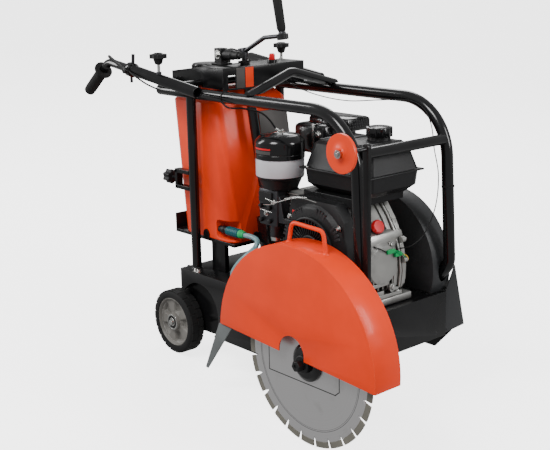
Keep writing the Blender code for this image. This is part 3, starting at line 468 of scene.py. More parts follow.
def cable(name, points, radius, finish, body=ROOT, nodes=(), sides=6):
    """Round cable or tube along machine points."""
    curve = bpy.data.curves.new(name, "CURVE")
    curve.dimensions = "3D"
    curve.bevel_depth = radius
    curve.bevel_resolution = sides
    curve.use_fill_caps = True
    spline = curve.splines.new("POLY")
    spline.points.add(len(points) - 1)
    for spot, point in zip(spline.points, points):
        spot.co = (*(TO_WORLD @ Vector(point)), 1)
    spline.use_smooth = True
    return settle(link(curve, name), finish, body, nodes)


def rounded(corners, bend, steps=10):
    """Route through corners with an arc of radius bend at each inner one."""
    corners = [Vector(corner) for corner in corners]
    path = [corners[0]]
    for before, corner, after in zip(corners, corners[1:], corners[2:]):
        back = (before - corner).normalized()
        ahead = (after - corner).normalized()
        half = back.angle(ahead) / 2
        reach = bend * cos(half) / sin(half)
        centre = corner + (back + ahead).normalized() * bend / sin(half)
        start = corner + back * reach - centre
        end = corner + ahead * reach - centre
        sweep = start.angle(end)
        for index in range(steps + 1):
            part = index / steps
            path.append(centre + start * sin((1 - part) * sweep) / sin(sweep)
                        + end * sin(part * sweep) / sin(sweep))
    path.append(corners[-1])
    return path


# ---------------------------------------------------------------- camera, light and floor

def make_camera():
    """Long lens from the front of the blade side, a little above the machine."""
    azimuth, elevation, roll = radians(48.776), radians(14.203), radians(-1.129)
    back = Vector((sin(azimuth) * cos(elevation), -cos(azimuth) * cos(elevation), sin(elevation)))
    level = Vector((cos(azimuth), sin(azimuth), 0))
    upright = back.cross(level)
    right = level * cos(roll) + upright * sin(roll)
    up = upright * cos(roll) - level * sin(roll)
    data = bpy.data.cameras.new("camera")
    data.lens = 68.65
    data.sensor_width = 36
    data.clip_end = 50
    camera = link(data, "camera")
    station = Vector((1.8255, -1.7033, 0.9926))
    turn = Matrix((right, up, back)).transposed().to_4x4()
    camera.matrix_world = TO_WORLD @ Matrix.Translation(station) @ turn
    bpy.context.scene.camera = camera


def make_light(name, spot, target, size, power):
    """Rectangular lamp at spot, turned towards target."""
    data = bpy.data.lights.new(name, "AREA")
    data.shape = "RECTANGLE"
    data.size, data.size_y = size
    data.energy = power
    lamp = link(data, name)
    aim = Vector(spot) - Vector(target)
    lamp.matrix_world = Matrix.Translation(Vector(spot)) @ aim.to_track_quat("Z", "Y").to_matrix().to_4x4()


def make_studio():
    """Pale floor, white surroundings and soft lamps."""
    world = bpy.data.worlds.new("studio")
    bpy.context.scene.world = world
    world.use_nodes = True
    world.node_tree.nodes["Background"].inputs["Color"].default_value = (1, 1, 1, 1)
    world.node_tree.nodes["Background"].inputs["Strength"].default_value = 0.46
    shape = bmesh.new()
    bmesh.ops.create_grid(shape, x_segments=1, y_segments=1, size=20)
    mesh = bpy.data.meshes.new("floor")
    shape.to_mesh(mesh)
    shape.free()
    floor = link(mesh, "floor")
    floor.location.z = cad_box[0][2] - 0.0005
    floor.visible_diffuse = False
    floor.visible_glossy = False
    pale = bpy.data.materials.new("floor")
    pale.use_nodes = True
    shader = pale.node_tree.nodes["Principled BSDF"]
    shader.inputs["Base Color"].default_value = (0.95, 0.95, 0.95, 1)
    shader.inputs["Roughness"].default_value = 0.95
    shader.inputs["Specular IOR Level"].default_value = 0.1
    shader.inputs["Emission Color"].default_value = (1, 1, 1, 1)
    shader.inputs["Emission Strength"].default_value = 3.0
    mesh.materials.append(pale)
    make_light("key", (0.4, -2.4, 3.2), (0, 0, 0.4), (1.4, 1.1), 90)
    make_light("front", (3.2, 1.2, 2.4), (0, 0, 0.5), (0.8, 1.8), 74)
    make_light("back", (-2.4, 2.6, 2.8), (0, 0, 0.6), (1.6, 1.6), 50)
    make_light("left", (-2.6, -1.6, 1.6), (-0.3, 0, 0.5), (0.5, 2.2), 44)


# ---------------------------------------------------------------- blade and wheels

def make_blade():
    """Core ground in circles, with wedge-shaped gullets, and its thick sintered segments."""
    low, high = span("blade")
    radius = (high.x - low.x) / 2
    half = (high.y - low.y) / 2
    count = 25
    pitch = 2 * pi / count
    root = radius - 0.0275
    foot = radius - 0.0165
    first = -radians(100)
    outline = []
    for index in range(count):
        start = first + index * pitch
        for part, reach in ((0.075, root + 0.003), (0.088, root), (0.112, root), (0.125, root + 0.003),
                            (0.158, foot), (0.37, foot), (0.58, foot), (0.79, foot), (1.022, foot)):
            angle = start + part * pitch
            outline.append((reach * cos(angle), reach * sin(angle)))
    shape = bmesh.new()
    extrude(shape, outline, (0, -half, 0), (1, 0, 0), (0, 0, 1), (0, 2 * half, 0))
    place(shape, "blade_core", "brushed_steel", body="blade_assembly", nodes=("blade",), bevel=0.0003)
    shape = bmesh.new()
    thick = half + 0.0007
    for index in range(count):
        start = first + index * pitch
        outer = [start + (0.185 + 0.81 * step / 6) * pitch for step in range(7)]
        inner = [start + (0.163 + 0.854 * step / 6) * pitch for step in range(7)]
        teeth = [(radius * cos(angle), radius * sin(angle)) for angle in outer]
        teeth += [((foot + 0.0002) * cos(angle), (foot + 0.0002) * sin(angle)) for angle in reversed(inner)]
        extrude(shape, teeth, (0, -thick, 0), (1, 0, 0), (0, 0, 1), (0, 2 * thick, 0))
    place(shape, "blade_segments", "diamond", body="blade_assembly", bevel=0.0005)
    make_blade_print(half)


def make_blade_print(half):
    """Plain printed lines round a panel on the blade, and two faint rings."""
    shape = bmesh.new()
    corners = [(-0.150, 0.020), (-0.150, -0.060), (0.098, -0.060), (0.112, -0.048), (0.112, 0.020)]
    for start, end in zip(corners, corners[1:]):
        along = Vector((end[0] - start[0], end[1] - start[1])).normalized() * 0.0013
        across = Vector((-along.y, along.x))
        strip = [(start[0] - along.x + across.x, start[1] - along.y + across.y),
                 (start[0] - along.x - across.x, start[1] - along.y - across.y),
                 (end[0] + along.x - across.x, end[1] + along.y - across.y),
                 (end[0] + along.x + across.x, end[1] + along.y + across.y)]
        for side in (-1, 1):
            extrude(shape, strip, (0, side * (half + 0.00012), 0), (1, 0, 0), (0, 0, 1),
                    (0, side * 0.00006, 0))
    for reach, wide in ((0.182, 0.0005), (0.178, 0.0003)):
        for side in (-1, 1):
            face = side * (half + 0.00012)
            revolve(shape, [(reach - wide, 0), (reach + wide, 0), (reach + wide, 0.00006),
                            (reach - wide, 0.00006)], (0, face, 0), (0, side, 0), 96)
    place(shape, "blade_print", "ink_and_painted_shade", body="blade_assembly")


def make_flange_and_bolt():
    """Glossy outer flange and the hexagon nut on its washer."""
    refine("outer_flange", "gloss_black", 0.0012)
    low, high = span("blade_bolt")
    shape = bmesh.new()
    revolve(shape, [(0, 0), (0.024, 0), (0.024, 0.0105), (0.021, 0.0125), (0, 0.0125)],
            (0, high.y, 0), (0, -1, 0), 48)
    face = high.y - low.y
    revolve(shape, [(0, 0.012), (0.0152, 0.012), (0.0152, face - 0.003), (0.0132, face - 0.0008),
                    (0.006, face - 0.0008), (0.005, face - 0.004), (0, face - 0.004)],
            (0, high.y, 0), (0, -1, 0), 6, 0.2)
    place(shape, "blade_nut", "black_plastic", body="blade_assembly", nodes=("blade_bolt",), bevel=0.0007)


def pocketed_face(shape, centre, side, inner, outer, depth, lobes, steps=96, rings=10):
    """Wheel web seen from one side: a dish with a rounded pocket between each pair of spokes."""
    rows = []
    for ring in range(rings + 1):
        part = ring / rings
        radius = inner + (outer - inner) * part
        row = []
        for index in range(steps):
            angle = 2 * pi * index / steps
            swing = max(0.0, cos(lobes * angle) + 0.15)
            well = min(1.0, 3.0 * sin(pi * part) ** 2) * min(1.0, swing * 2.2)
            level = depth * (0.25 + 0.75 * well)
            row.append(shape.verts.new((centre.x + radius * cos(angle), centre.y + side * -level,
                                        centre.z + radius * sin(angle))))
        rows.append(row)
    for first, second in zip(rows, rows[1:]):
        for index in range(steps):
            after = (index + 1) % steps
            shape.faces.new((first[index], first[after], second[after], second[index]))


def make_rear_wheel(side):
    """Moulded hub with pockets and a bearing, and a tyre with shoulder blocks."""
    hub, tyre = "rear_hub_" + side, "rear_tyre_" + side
    body = "rear_wheel_" + side
    centre = middle(tyre)
    low, high = span(tyre)
    radius = (high.x - low.x) / 2
    half = (high.y - low.y) / 2
    rim = (span(hub)[1].x - span(hub)[0].x) / 2
    shape = bmesh.new()
    revolve(shape, [(rim - 0.006, -half + 0.006), (rim - 0.003, -half + 0.002), (rim, -half + 0.003),
                    (rim, half - 0.003), (rim - 0.003, half - 0.002), (rim - 0.006, half - 0.006),
                    (rim - 0.010, half - 0.013), (rim - 0.010, -half + 0.013)], centre, (0, 1, 0), 72)
    revolve(shape, [(0.0085, -half), (0.0250, -half), (0.0268, -half + 0.003), (0.0280, -half + 0.012),
                    (0.0280, half - 0.012), (0.0268, half - 0.003), (0.0250, half), (0.0085, half)],
            centre, (0, 1, 0), 48)
    for face in (1, -1):
        edge = Vector((centre.x, centre.y + face * (half - 0.007), centre.z))
        pocketed_face(shape, edge, face, 0.0270, rim - 0.008, 0.013, 5)
    place(shape, "moulded_hub_" + side, "hub_grey", body=body, nodes=(hub,), angle=40)
    shape = bmesh.new()
    for face in (1, -1):
        seat = centre + Vector((0, face * (half - 0.0005), 0))
        revolve(shape, [(0.0088, 0), (0.0122, 0), (0.0122, 0.0018), (0.0088, 0.0018)], seat, (0, face, 0), 40)
        revolve(shape, [(0.0200, 0), (0.0238, 0), (0.0234, 0.0018), (0.0203, 0.0018)],
                seat, (0, face, 0), 40)
    place(shape, "hub_bearing_" + side, "zinc", body=body, bevel=0.0003)
    shape = bmesh.new()
    for face in (1, -1):
        seat = centre + Vector((0, face * (half - 0.0005), 0))
        revolve(shape, [(0.0122, 0), (0.0200, 0), (0.0200, 0.0009), (0.0122, 0.0009)], seat, (0, face, 0), 40)
    place(shape, "bearing_seal_" + side, "rubber", body=body)
    turned("tyre_" + side, "tyre", [(rim + 0.0003, -half + 0.001), (rim + 0.004, -half),
           (rim + 0.014, -half + 0.0006), (radius - 0.004, -half + 0.004), (radius - 0.0012, -half + 0.009),
           (radius - 0.0012, half - 0.009), (radius - 0.004, half - 0.004), (rim + 0.014, half - 0.0006),
           (rim + 0.004, half), (rim + 0.0003, half - 0.001)], centre, (0, 1, 0), 96, body=body,
           nodes=(tyre,), angle=50)
    shape = bmesh.new()
    blocks = 22
    for index in range(blocks):
        turn = 2 * pi * index / blocks
        for lane, shift in ((-1, 0.0), (1, 0.5)):
            angle = turn + shift * 2 * pi / blocks
            wide = 0.455 * 2 * pi / blocks
            inner, outer = radius - 0.0022, radius
            outline = [(inner * cos(angle - wide), inner * sin(angle - wide)),
                       (outer * cos(angle - wide * 0.9), outer * sin(angle - wide * 0.9)),
                       (outer * cos(angle), outer * sin(angle)),
                       (outer * cos(angle + wide * 0.9), outer * sin(angle + wide * 0.9)),
                       (inner * cos(angle + wide), inner * sin(angle + wide))]
            start = centre + Vector((0, lane * 0.0015, 0))
            extrude(shape, outline, start, (1, 0, 0), (0, 0, 1), (0, lane * (half - 0.0055), 0))
    place(shape, "tread_" + side, "tyre", body=body, bevel=0.0006)


def make_front_wheels():
    """Rubber rollers with moulded hubs."""
    for side in ("near", "far"):
        refine("front_wheel_" + side, "rubber", 0.0015)
        node = "front_wheel_" + side
        centre = middle(node)
        low, high = span(node)
        shape = bmesh.new()
        half = (high.y - low.y) / 2
        revolve(shape, [(0.0088, -half - 0.0005), (0.030, -half - 0.0005), (0.034, -half + 0.002),
                        (0.034, half - 0.002), (0.030, half + 0.0005), (0.0088, half + 0.0005)],
                centre, (0, 1, 0), 48)
        place(shape, "roller_hub_" + side, "hub_grey", body="roller_" + side, bevel=0.0006)


# ---------------------------------------------------------------- frame, chassis and guard

def make_frame_tubes():
    """Smooth bent tubes: beam, front leg and turned-back foot, with the rear post."""
    for side in ("near", "far"):
        node = "frame_" + side
        low, high = span(node)
        radius = (high.y - low.y) / 2
        y = (high.y + low.y) / 2
        beam = high.z - radius
        leg = high.x - radius
        deck = low.z
        corners = [Vector((low.x, y, beam)), Vector((leg - 0.0235, y, beam)), Vector((leg, y, 0.185)),
                   Vector((leg - 0.091, y, 0.094))]
        upper = rounded(corners[:3], 0.155, 18)
        lower = rounded(corners[1:], 0.045, 10)
        route = upper[:-1] + lower[1:]
        drop = (route[-1] - route[-2]).normalized()
        route[-1] = route[-2] + drop * ((route[-2].z - deck - radius * 0.75) / -drop.z)
        cable("smooth_" + node, route, radius, "gloss_black", ROOT, (node,), 12)
        cable("rear_post_" + side, [(REAR_POST_X, y, deck), (REAR_POST_X, y, beam)], 0.014,
              "gloss_black", sides=12)
        shape = bmesh.new()
        revolve(shape, [(0.0135, 0), (0.0185, 0), (0.0165, 0.003), (0.0140, 0.0055)], (REAR_POST_X, y, deck),
                (0, 0, 1), 40)
        revolve(shape, [(0, 0), (radius - 0.0004, 0), (radius - 0.0018, 0.0014), (0, 0.0014)],
                (low.x, y, beam), (-1, 0, 0), 40)
        place(shape, "tube_ends_" + side, "black_paint")
        shape = bmesh.new()
        for shift in (0.022, 0.036):
            hex_bolt(shape, (REAR_POST_X + shift, y - 0.022, deck), (0, 0, 1), 0.010, 0.006)
        place(shape, "post_bolts_" + side, "zinc", bevel=0.0004)
    make_bracket_loop()
    refine("cross_tube", "gloss_black", 0.0)
    refine("lifting_bail", "gloss_black", 0.0, 40)


def make_bracket_loop():
    """Square loop behind the near post, of bent flat bar."""
    seat = pivot("clamp_knob_turn")
    y = seat.y
    low = Vector((seat.x + 0.0004, y - 0.011, seat.z - 0.030))
    high = Vector((-0.600, y + 0.011, seat.z + 0.030))
    shape = bmesh.new()
    wall = 0.012
    block(shape, low, (low.x + wall, high.y, high.z))
    block(shape, (low.x, low.y, low.z), (high.x, high.y, low.z + wall))
    block(shape, (low.x, low.y, high.z - wall), (high.x, high.y, high.z))
    place(shape, "clamp_bracket", "black_paint", bevel=0.0015)


def make_chassis():
    """Chassis box, wing plate and dark discs of painted shade for the small holes in the front plate."""
    refine("chassis", "black_paint", 0.0010)
    refine("wing_plate", "grey_plastic", 0.0010)
    front = span("chassis")[1].x
    shape = bmesh.new()
    # Dark discs of painted shade stand in for the holes in the front plate.
    for y, z in ((0.180, 0.070), (0.180, 0.020), (0.330, 0.030), (0.372, 0.030)):
        revolve(shape, [(0, 0), (0.0042, 0), (0.0042, 0.0004), (0, 0.0004)], (front, y, z), (1, 0, 0), 20)
    place(shape, "front_plate_holes", "ink_and_painted_shade")


def make_guard():
    """Orange sheet guard with weld beads at its handle, and the rubber flap."""
    refine("blade_guard", "orange_paint", 0.0008, 32)
    shape = bmesh.new()
    for x in (-0.083, 0.051):
        rise = (GUARD_RADIUS ** 2 - (x - GUARD_CENTRE.x) ** 2) ** 0.5
        foot = Vector((x, GUARD_CENTRE.y, GUARD_CENTRE.z + rise - 0.0006))
        revolve(shape, [(0.005, 0.0), (0.0095, 0.0), (0.0080, 0.0022), (0.0055, 0.0040)], foot,
                foot - GUARD_CENTRE, 32)
    place(shape, "handle_welds", "orange_paint", body="guard")
    refine("splash_flap", "flap", 0.0006)


# ---------------------------------------------------------------- engine

CASE_PROFILE = [(-0.150, 0.132), (0.022, 0.132), (0.036, 0.148), (0.040, 0.190), (0.034, 0.240),
                (0.018, 0.290), (-0.006, 0.330), (-0.040, 0.372), (-0.120, 0.372), (-0.160, 0.300)]


def case_slice(shape, near, far, grow):
    """Add one flange or wall of the crankcase: its side profile grown outward from the shaft."""
    outline = []
    for x, z in CASE_PROFILE:
        out = Vector((x - CASE_X, z - CASE_Z))
        out = out + out.normalized() * grow
        outline.append((CASE_X + out.x, max(0.1275, CASE_Z + out.y)))
    extrude(shape, outline, (0, near, 0), (1, 0, 0), (0, 0, 1), (0, far - near, 0))


def case_bolt_spot(turn, y):
    """Place of a cover bolt on its circle round the crankcase's middle."""
    return Vector((CASE_X + CASE_BOLT_REACH * cos(radians(turn)), y,
                   CASE_Z + CASE_BOLT_REACH * sin(radians(turn))))


def make_engine():
    """Cast crankcase built up in flanges, with its fins, oil cap, wiring leads and breather."""
    refine("engine_block", "cast", 0.0030, 25)
    shape = bmesh.new()
    for near, far, grow in ((0.156, 0.170, 0.004), (0.170, 0.276, -0.006), (0.276, 0.292, 0.000),
                            (0.292, 0.300, 0.007), (0.3015, 0.3085, 0.007), (0.3085, 0.322, 0.001),
                            (0.322, 0.334, -0.010), (0.334, 0.340, -0.018)):
        case_slice(shape, near, far, grow)
    place(shape, "crankcase", "cast", bevel=0.0024, angle=20, segments=3)
    make_engine_ribs()
    shape = bmesh.new()
    for index in range(8):
        z = 0.272 + index * 0.0150
        lean = -0.35 * (z - 0.24)
        block(shape, (-0.214 + lean * 0.6, 0.1545, z), (-0.046, 0.3245, z + 0.0032))
    place(shape, "cooling_fins", "cast", bevel=0.0008)
    turned("oil_cap", "red_plastic", [(0, 0), (0.0085, 0), (0.0085, 0.010), (0.0185, 0.011),
           (0.0185, 0.019), (0.0165, 0.0225), (0, 0.0235)], (0.002, 0.238, 0.308), (1, -0.10, 0.45), 28,
           bevel=0.0010)
    boxes("lead_connector", "green_plastic", [((0.026, 0.243, 0.243), (0.047, 0.273, 0.254)),
          ((0.028, 0.271, 0.231), (0.049, 0.297, 0.241))], bevel=0.0018)
    leads = {
        "lead_yellow": ("yellow_wire", [(0.046, 0.297, 0.237), (0.053, 0.310, 0.228), (0.050, 0.318, 0.216),
                                        (0.036, 0.319, 0.204)]),
        "lead_green": ("green_plastic", [(0.046, 0.272, 0.249), (0.056, 0.285, 0.244), (0.052, 0.303, 0.225),
                                         (0.036, 0.312, 0.212)]),
        "lead_white": ("white_plastic", [(0.036, 0.170, 0.284), (0.050, 0.166, 0.306), (0.042, 0.180, 0.330),
                                         (0.012, 0.196, 0.336)]),
        "lead_black": ("rubber", [(0.042, 0.243, 0.249), (0.048, 0.227, 0.257), (0.044, 0.213, 0.265),
                                  (0.024, 0.205, 0.270)]),
    }
    for name, (finish, stops) in leads.items():
        cable(name, smooth_points(stops, 24), 0.0014, finish)
    turned("breather", "cast", [(0, 0), (0.014, 0), (0.017, 0.012), (0.017, 0.026), (0.010, 0.034),
           (0.008, 0.050), (0, 0.052)], (-0.006, 0.182, 0.338), (0.35, -0.20, 1), 28, bevel=0.0010)
    boxes("tank_cradle", "black_paint", [((-0.172, 0.1500, 0.374), (0.010, 0.3420, 0.4000))], bevel=0.0020)
    refine("engine_shaft", "dark_steel", 0.0006)
    refine("v_belt", "rubber", 0.0006)


def make_engine_ribs():
    """Webs, drain bosses, foot lugs and bolt heads on the front of the crankcase."""
    shape = bmesh.new()
    for y in (0.196, 0.214, 0.232, 0.250, 0.268):
        outline = [(0.026, 0.134), (0.0385, 0.150), (0.0400, 0.176), (0.0350, 0.206), (0.026, 0.210)]
        extrude(shape, outline, (0, y, 0), (1, 0, 0), (0, 0, 1), (0, 0.0035, 0))
    for y in (0.180, 0.262):
        revolve(shape, [(0, 0), (0.0115, 0), (0.0105, 0.014), (0, 0.014)], (0.032, y, 0.150), (1, 0, 0), 24)
    block(shape, (-0.020, 0.150, 0.1262), (0.046, 0.300, 0.136))
    block(shape, (0.020, 0.160, 0.134), (0.041, 0.236, 0.146))
    block(shape, (0.026, 0.188, 0.158), (0.0405, 0.256, 0.168))
    for y, z in ((0.186, 0.262), (0.268, 0.262), (0.268, 0.226)):
        revolve(shape, [(0, 0), (0.008, 0), (0.0075, 0.012), (0, 0.012)], (0.024, y, z), (1, 0, 0.2), 20)
    for turn in CASE_BOLT_TURNS:
        revolve(shape, [(0, 0), (0.0085, 0), (0.0080, 0.014), (0, 0.014)], case_bolt_spot(turn, 0.300),
                (0, 1, 0), 20)
    place(shape, "case_webs", "cast", bevel=0.0012)
    shape = bmesh.new()
    for y in (0.180, 0.262):
        hex_bolt(shape, (0.046, y, 0.150), (1, 0, 0), 0.012, 0.006)
    for y in (0.186, 0.268):
        hex_bolt(shape, (0.0355, y, 0.2645), (1, 0, 0.2), 0.009, 0.005, False)
    for x, y in ((0.034, 0.166), (0.034, 0.290), (-0.172, 0.152), (-0.172, 0.322)):
        hex_bolt(shape, (x, y, 0.136 if x > 0 else 0.126), (0, 0, 1), 0.013, 0.008)
    for turn in CASE_BOLT_TURNS:
        hex_bolt(shape, case_bolt_spot(turn, 0.314), (0, 1, 0), 0.009, 0.005, False)
    place(shape, "case_bolts", "zinc", bevel=0.0005)


def make_fan_cover():
    """Starter housing: raised dome, radial fins over a dark ring of painted shade, dark slots of painted shade
    round its shoulder and the T grip.
    """
    refine("fan_cover", "black_plastic", 0.0035, 22)
    centre = STARTER_CENTRE
    shape = bmesh.new()
    for index in range(40):
        angle = 2 * pi * index / 40
        along = Vector((cos(angle), 0, sin(angle)))
        side = Vector((-sin(angle), 0, cos(angle)))
        outline = [(0.036, -0.0012), (0.076, -0.0022), (0.076, 0.0022), (0.036, 0.0012)]
        extrude(shape, outline, centre + Vector((0, 0.0015, 0)), along, side, (0, -0.0075, 0))
    place(shape, "vent_fins", "gloss_black", bevel=0.0006)
    shape = bmesh.new()
    revolve(shape, [(0.0760, 0.0030), (0.0840, 0.0045), (0.0835, -0.0060), (0.0800, -0.0078),
                    (0.0760, -0.0070)], centre, (0, 1, 0), 80)
    revolve(shape, [(0, 0.0010), (0.0360, 0.0010), (0.0360, -0.0050), (0.0330, -0.0075), (0.0140, -0.0085),
                    (0, -0.0085)], centre, (0, 1, 0), 56)
    place(shape, "vent_rings", "black_plastic", bevel=0.0008, angle=35)
    # A dark ring of painted shade behind the fins stands in for the shaded gaps between them.
    turned("vent_shadow", "ink_and_painted_shade", [(0.0365, 0.0002), (0.0758, 0.0016), (0.0758, -0.0004), (0.0365, -0.0016)],
           centre, (0, 1, 0), 80)
    # Dark fills of painted shade stand in for the slots round the shoulder.
    shape = bmesh.new()
    for start in (22, 62, 112, 152, 202, 292):
        for step in range(4):
            angle = radians(start + 5.6 * step)
            along = Vector((cos(angle), 0, sin(angle)))
            side = Vector((-sin(angle), 0, cos(angle)))
            slot = [(0.0905, -0.0026), (0.1105, -0.0030), (0.1105, 0.0030), (0.0905, 0.0026)]
            lean = 0.0070 if step % 3 else 0.0064
            extrude(shape, slot, centre + Vector((0, lean, 0)), along, side, (0, -0.0032, 0))
    place(shape, "shoulder_slots", "ink_and_painted_shade", bevel=0.0005)
    shape = bmesh.new()
    for angle in (0.62, 2.50, 4.05, 5.55):
        spot = centre + Vector((0.1135 * cos(angle), 0.0125, 0.1135 * sin(angle)))
        hex_bolt(shape, spot, (0, -1, 0), 0.009, 0.005)
    place(shape, "cover_bolts", "zinc", bevel=0.0004)
    boxes("switch_plate", "black_plastic", [((-0.166, 0.1135, 0.352), (-0.110, 0.1152, 0.372))],
          bevel=0.0008)
    shape = bmesh.new()
    extrude(shape, [(-0.178, 0.350), (-0.178, 0.337), (-0.152, 0.344)], (0, 0.1148, 0), (1, 0, 0), (0, 0, 1),
            (0, -0.0006, 0))
    place(shape, "cover_flash", "red_plastic")
    refine("recoil_grip", "black_plastic", 0.0010)


def make_fuel_tank():
    """Moulded tank with a bolted seam, pressed panels on its top and a ribbed cap."""
    refine("fuel_tank", "black_plastic", 0.0045, 18)
    low, high = span("fuel_tank")
    seam = 0.4605
    cap = middle("fuel_cap")
    shape = bmesh.new()
    for x in (low.x + 0.030, high.x - 0.030):
        for y in (low.y + 0.0035, high.y - 0.0035):
            hex_bolt(shape, (x, y, seam), (0, 0, 1), 0.0075, 0.004, False)
    place(shape, "seam_bolts", "zinc", bevel=0.0003)
    shape = bmesh.new()
    top = 0.532
    for start, end in (((-0.150, 0.187), (0.026, 0.196)), ((-0.150, 0.204), (-0.090, 0.318)),
                       ((0.014, 0.204), (0.026, 0.318))):
        block(shape, (start[0], start[1], top - 0.001), (end[0], end[1], top + 0.0022))
    place(shape, "pressed_panels", "black_plastic", bevel=0.0020)
    refine("fuel_cap", "gloss_black", 0.0016)
    shape = bmesh.new()
    peak = span("fuel_cap")[1].z
    revolve(shape, [(0, 0), (0.0290, 0), (0.0280, 0.0016), (0.0250, 0.0020), (0.0120, 0.0034), (0, 0.0038)],
            (cap.x, cap.y, peak), (0, 0, 1), 48)
    place(shape, "fuel_cap_dome", "gloss_black", body="cap")


def make_air_cleaner():
    """Black canister with a pale filter band, a moulded lid, stripes and a wing nut."""
    low, high = span("air_cleaner")
    foot = Vector(((low.x + high.x) / 2, (low.y + high.y) / 2, low.z))
    turned("cleaner_base", "black_plastic", [(0, 0), (0.048, 0), (0.060, 0.028), (0.0655, 0.032),
           (0.0655, 0.036), (0, 0.036)], foot, (0, 0, 1), 72, nodes=("air_cleaner",), bevel=0.0012)
    turned("cleaner_band", "white_plastic", [(0, 0.0355), (0.0655, 0.0355), (0.0665, 0.038),
           (0.0665, 0.082), (0.0655, 0.0845), (0, 0.0845)], foot, (0, 0, 1), 72, bevel=0.0008)
    turned("cleaner_lid", "gloss_black", [(0, 0.084), (0.0680, 0.084), (0.0684, 0.096), (0.0674, 0.0965),
           (0.0674, 0.0985), (0.0684, 0.0990), (0.0680, 0.127), (0.0665, 0.132), (0.0560, 0.1430),
           (0.0510, 0.1462), (0.0240, 0.1485), (0.0200, 0.1510), (0, 0.1515)], foot, (0, 0, 1), 72,
           bevel=0.0008, angle=38)
    stripe_angle = radians(246)
    for name, finish, z, tall in (("stripe_red", "red_plastic", 0.1120, 0.0045),
                                  ("stripe_grey", "shield", 0.1005, 0.0090)):
        shape = bmesh.new()
        lower = []
        upper = []
        for step in range(13):
            angle = stripe_angle + radians(50) * step / 12
            out = Vector((cos(angle), sin(angle), 0))
            lower.append(shape.verts.new(foot + out * 0.0688 + Vector((0, 0, z))))
            upper.append(shape.verts.new(foot + out * 0.0686 + Vector((0, 0, z + tall))))
        for step in range(12):
            shape.faces.new((lower[step], lower[step + 1], upper[step + 1], upper[step]))
        place(shape, name, finish)
    shape = bmesh.new()
    revolve(shape, [(0, 0.150), (0.016, 0.150), (0.016, 0.1525), (0.006, 0.153), (0.006, 0.158), (0, 0.1595)],
            foot, (0, 0, 1), 28)
    for side in (1, -1):
        wing = [(0.004, 0.153), (0.011, 0.1545), (0.017, 0.160), (0.014, 0.1615), (0.009, 0.160),
                (0.004, 0.1585)]
        extrude(shape, wing, foot + Vector((0, -0.0014, 0)), (side, 0, 0), (0, 0, 1), (0, 0.0028, 0))
    place(shape, "wing_nut", "zinc", bevel=0.0005)


def make_carburettor():
    """Carburettor body, bowl, choke lever, linkage rods and spring."""
    refine("carburettor", "dark_steel", 0.0016, 25)
    low = span("carburettor")[0]
    shape = bmesh.new()
    block(shape, (low.x + 0.008, low.y - 0.006, 0.352), (low.x + 0.060, low.y + 0.002, 0.380))
    block(shape, (low.x - 0.004, low.y + 0.010, 0.300), (low.x + 0.002, low.y + 0.070, 0.330))
    for x, z in ((0.014, 0.300), (0.050, 0.300), (0.014, 0.340), (0.050, 0.338)):
        revolve(shape, [(0, 0), (0.006, 0), (0.006, 0.008), (0.004, 0.009), (0, 0.009)],
                (low.x + x, low.y, z), (0, -1, 0), 20)
    place(shape, "carburettor_details", "black_plastic", bevel=0.0008)
    shape = bmesh.new()
    for x, z in ((0.032, 0.320), (0.062, 0.356)):
        hex_bolt(shape, (low.x + x, low.y, z), (0, -1, 0), 0.009, 0.005)
    revolve(shape, [(0, 0), (0.0255, 0), (0.0245, 0.012), (0.008, 0.020), (0, 0.021)],
            (-0.284, 0.160, 0.2515), (0, 0, -1), 32)
    hex_bolt(shape, (-0.284, 0.160, 0.232), (0, 0, -1), 0.008, 0.004, False)
    place(shape, "carburettor_bowl", "zinc", bevel=0.0006)
    rods = {
        "throttle_link": [(-0.292, 0.112, 0.345), (-0.255, 0.104, 0.352), (-0.200, 0.098, 0.372),
                          (-0.130, 0.096, 0.392), (-0.070, 0.100, 0.388)],
        "governor_rod": [(-0.285, 0.114, 0.362), (-0.230, 0.108, 0.362), (-0.170, 0.104, 0.386),
                         (-0.110, 0.104, 0.394)],
        "choke_rod": [(-0.330, 0.130, 0.330), (-0.300, 0.108, 0.333), (-0.250, 0.106, 0.330)],
    }
    for name, stops in rods.items():
        cable(name, smooth_points(stops, 20), 0.0013, "zinc")
    coil = []
    for index in range(120):
        part = index / 119
        angle = 2 * pi * 12 * part
        coil.append((-0.196 + 0.040 * part, 0.104 + 0.003 * cos(angle), 0.377 + 0.010 * part
                     + 0.003 * sin(angle)))
    cable("governor_spring", coil, 0.0005, "zinc", sides=2)


def make_muffler():
    """Silencer under a black shroud with rows of vents drawn as dark dots of painted shade, a clamp strap and
    bolts.
    """
    refine("muffler", "gloss_black", 0.0045, 25)
    # The vents are dark dots of painted shade on the shroud.
    shape = bmesh.new()
    front = -0.150
    for row, z in enumerate((0.5640, 0.5560, 0.5480)):
        for index in range(9):
            y = 0.303 + index * 0.0090 + row * 0.002
            revolve(shape, [(0, 0), (0.0024, 0), (0.0024, 0.0005), (0, 0.0005)], (front, y, z), (1, 0, 0), 12)
    for index in range(12):
        x = -0.290 + index * 0.0115
        revolve(shape, [(0, 0), (0.0024, 0), (0.0024, 0.0005), (0, 0.0005)], (x, 0.290, 0.560), (0, -1, 0),
                12)
    place(shape, "shroud_vents", "ink_and_painted_shade")
    shape = bmesh.new()
    block(shape, (-0.246, 0.2525, 0.466), (-0.238, 0.2548, 0.552))
    block(shape, (-0.246, 0.2525, 0.5518), (-0.238, 0.290, 0.5540))
    hex_bolt(shape, (-0.222, 0.2545, 0.528), (0, -1, 0), 0.011, 0.007)
    hex_bolt(shape, (-0.222, 0.2545, 0.500), (0, -1, 0), 0.009, 0.006)
    place(shape, "muffler_strap", "zinc", bevel=0.0004)


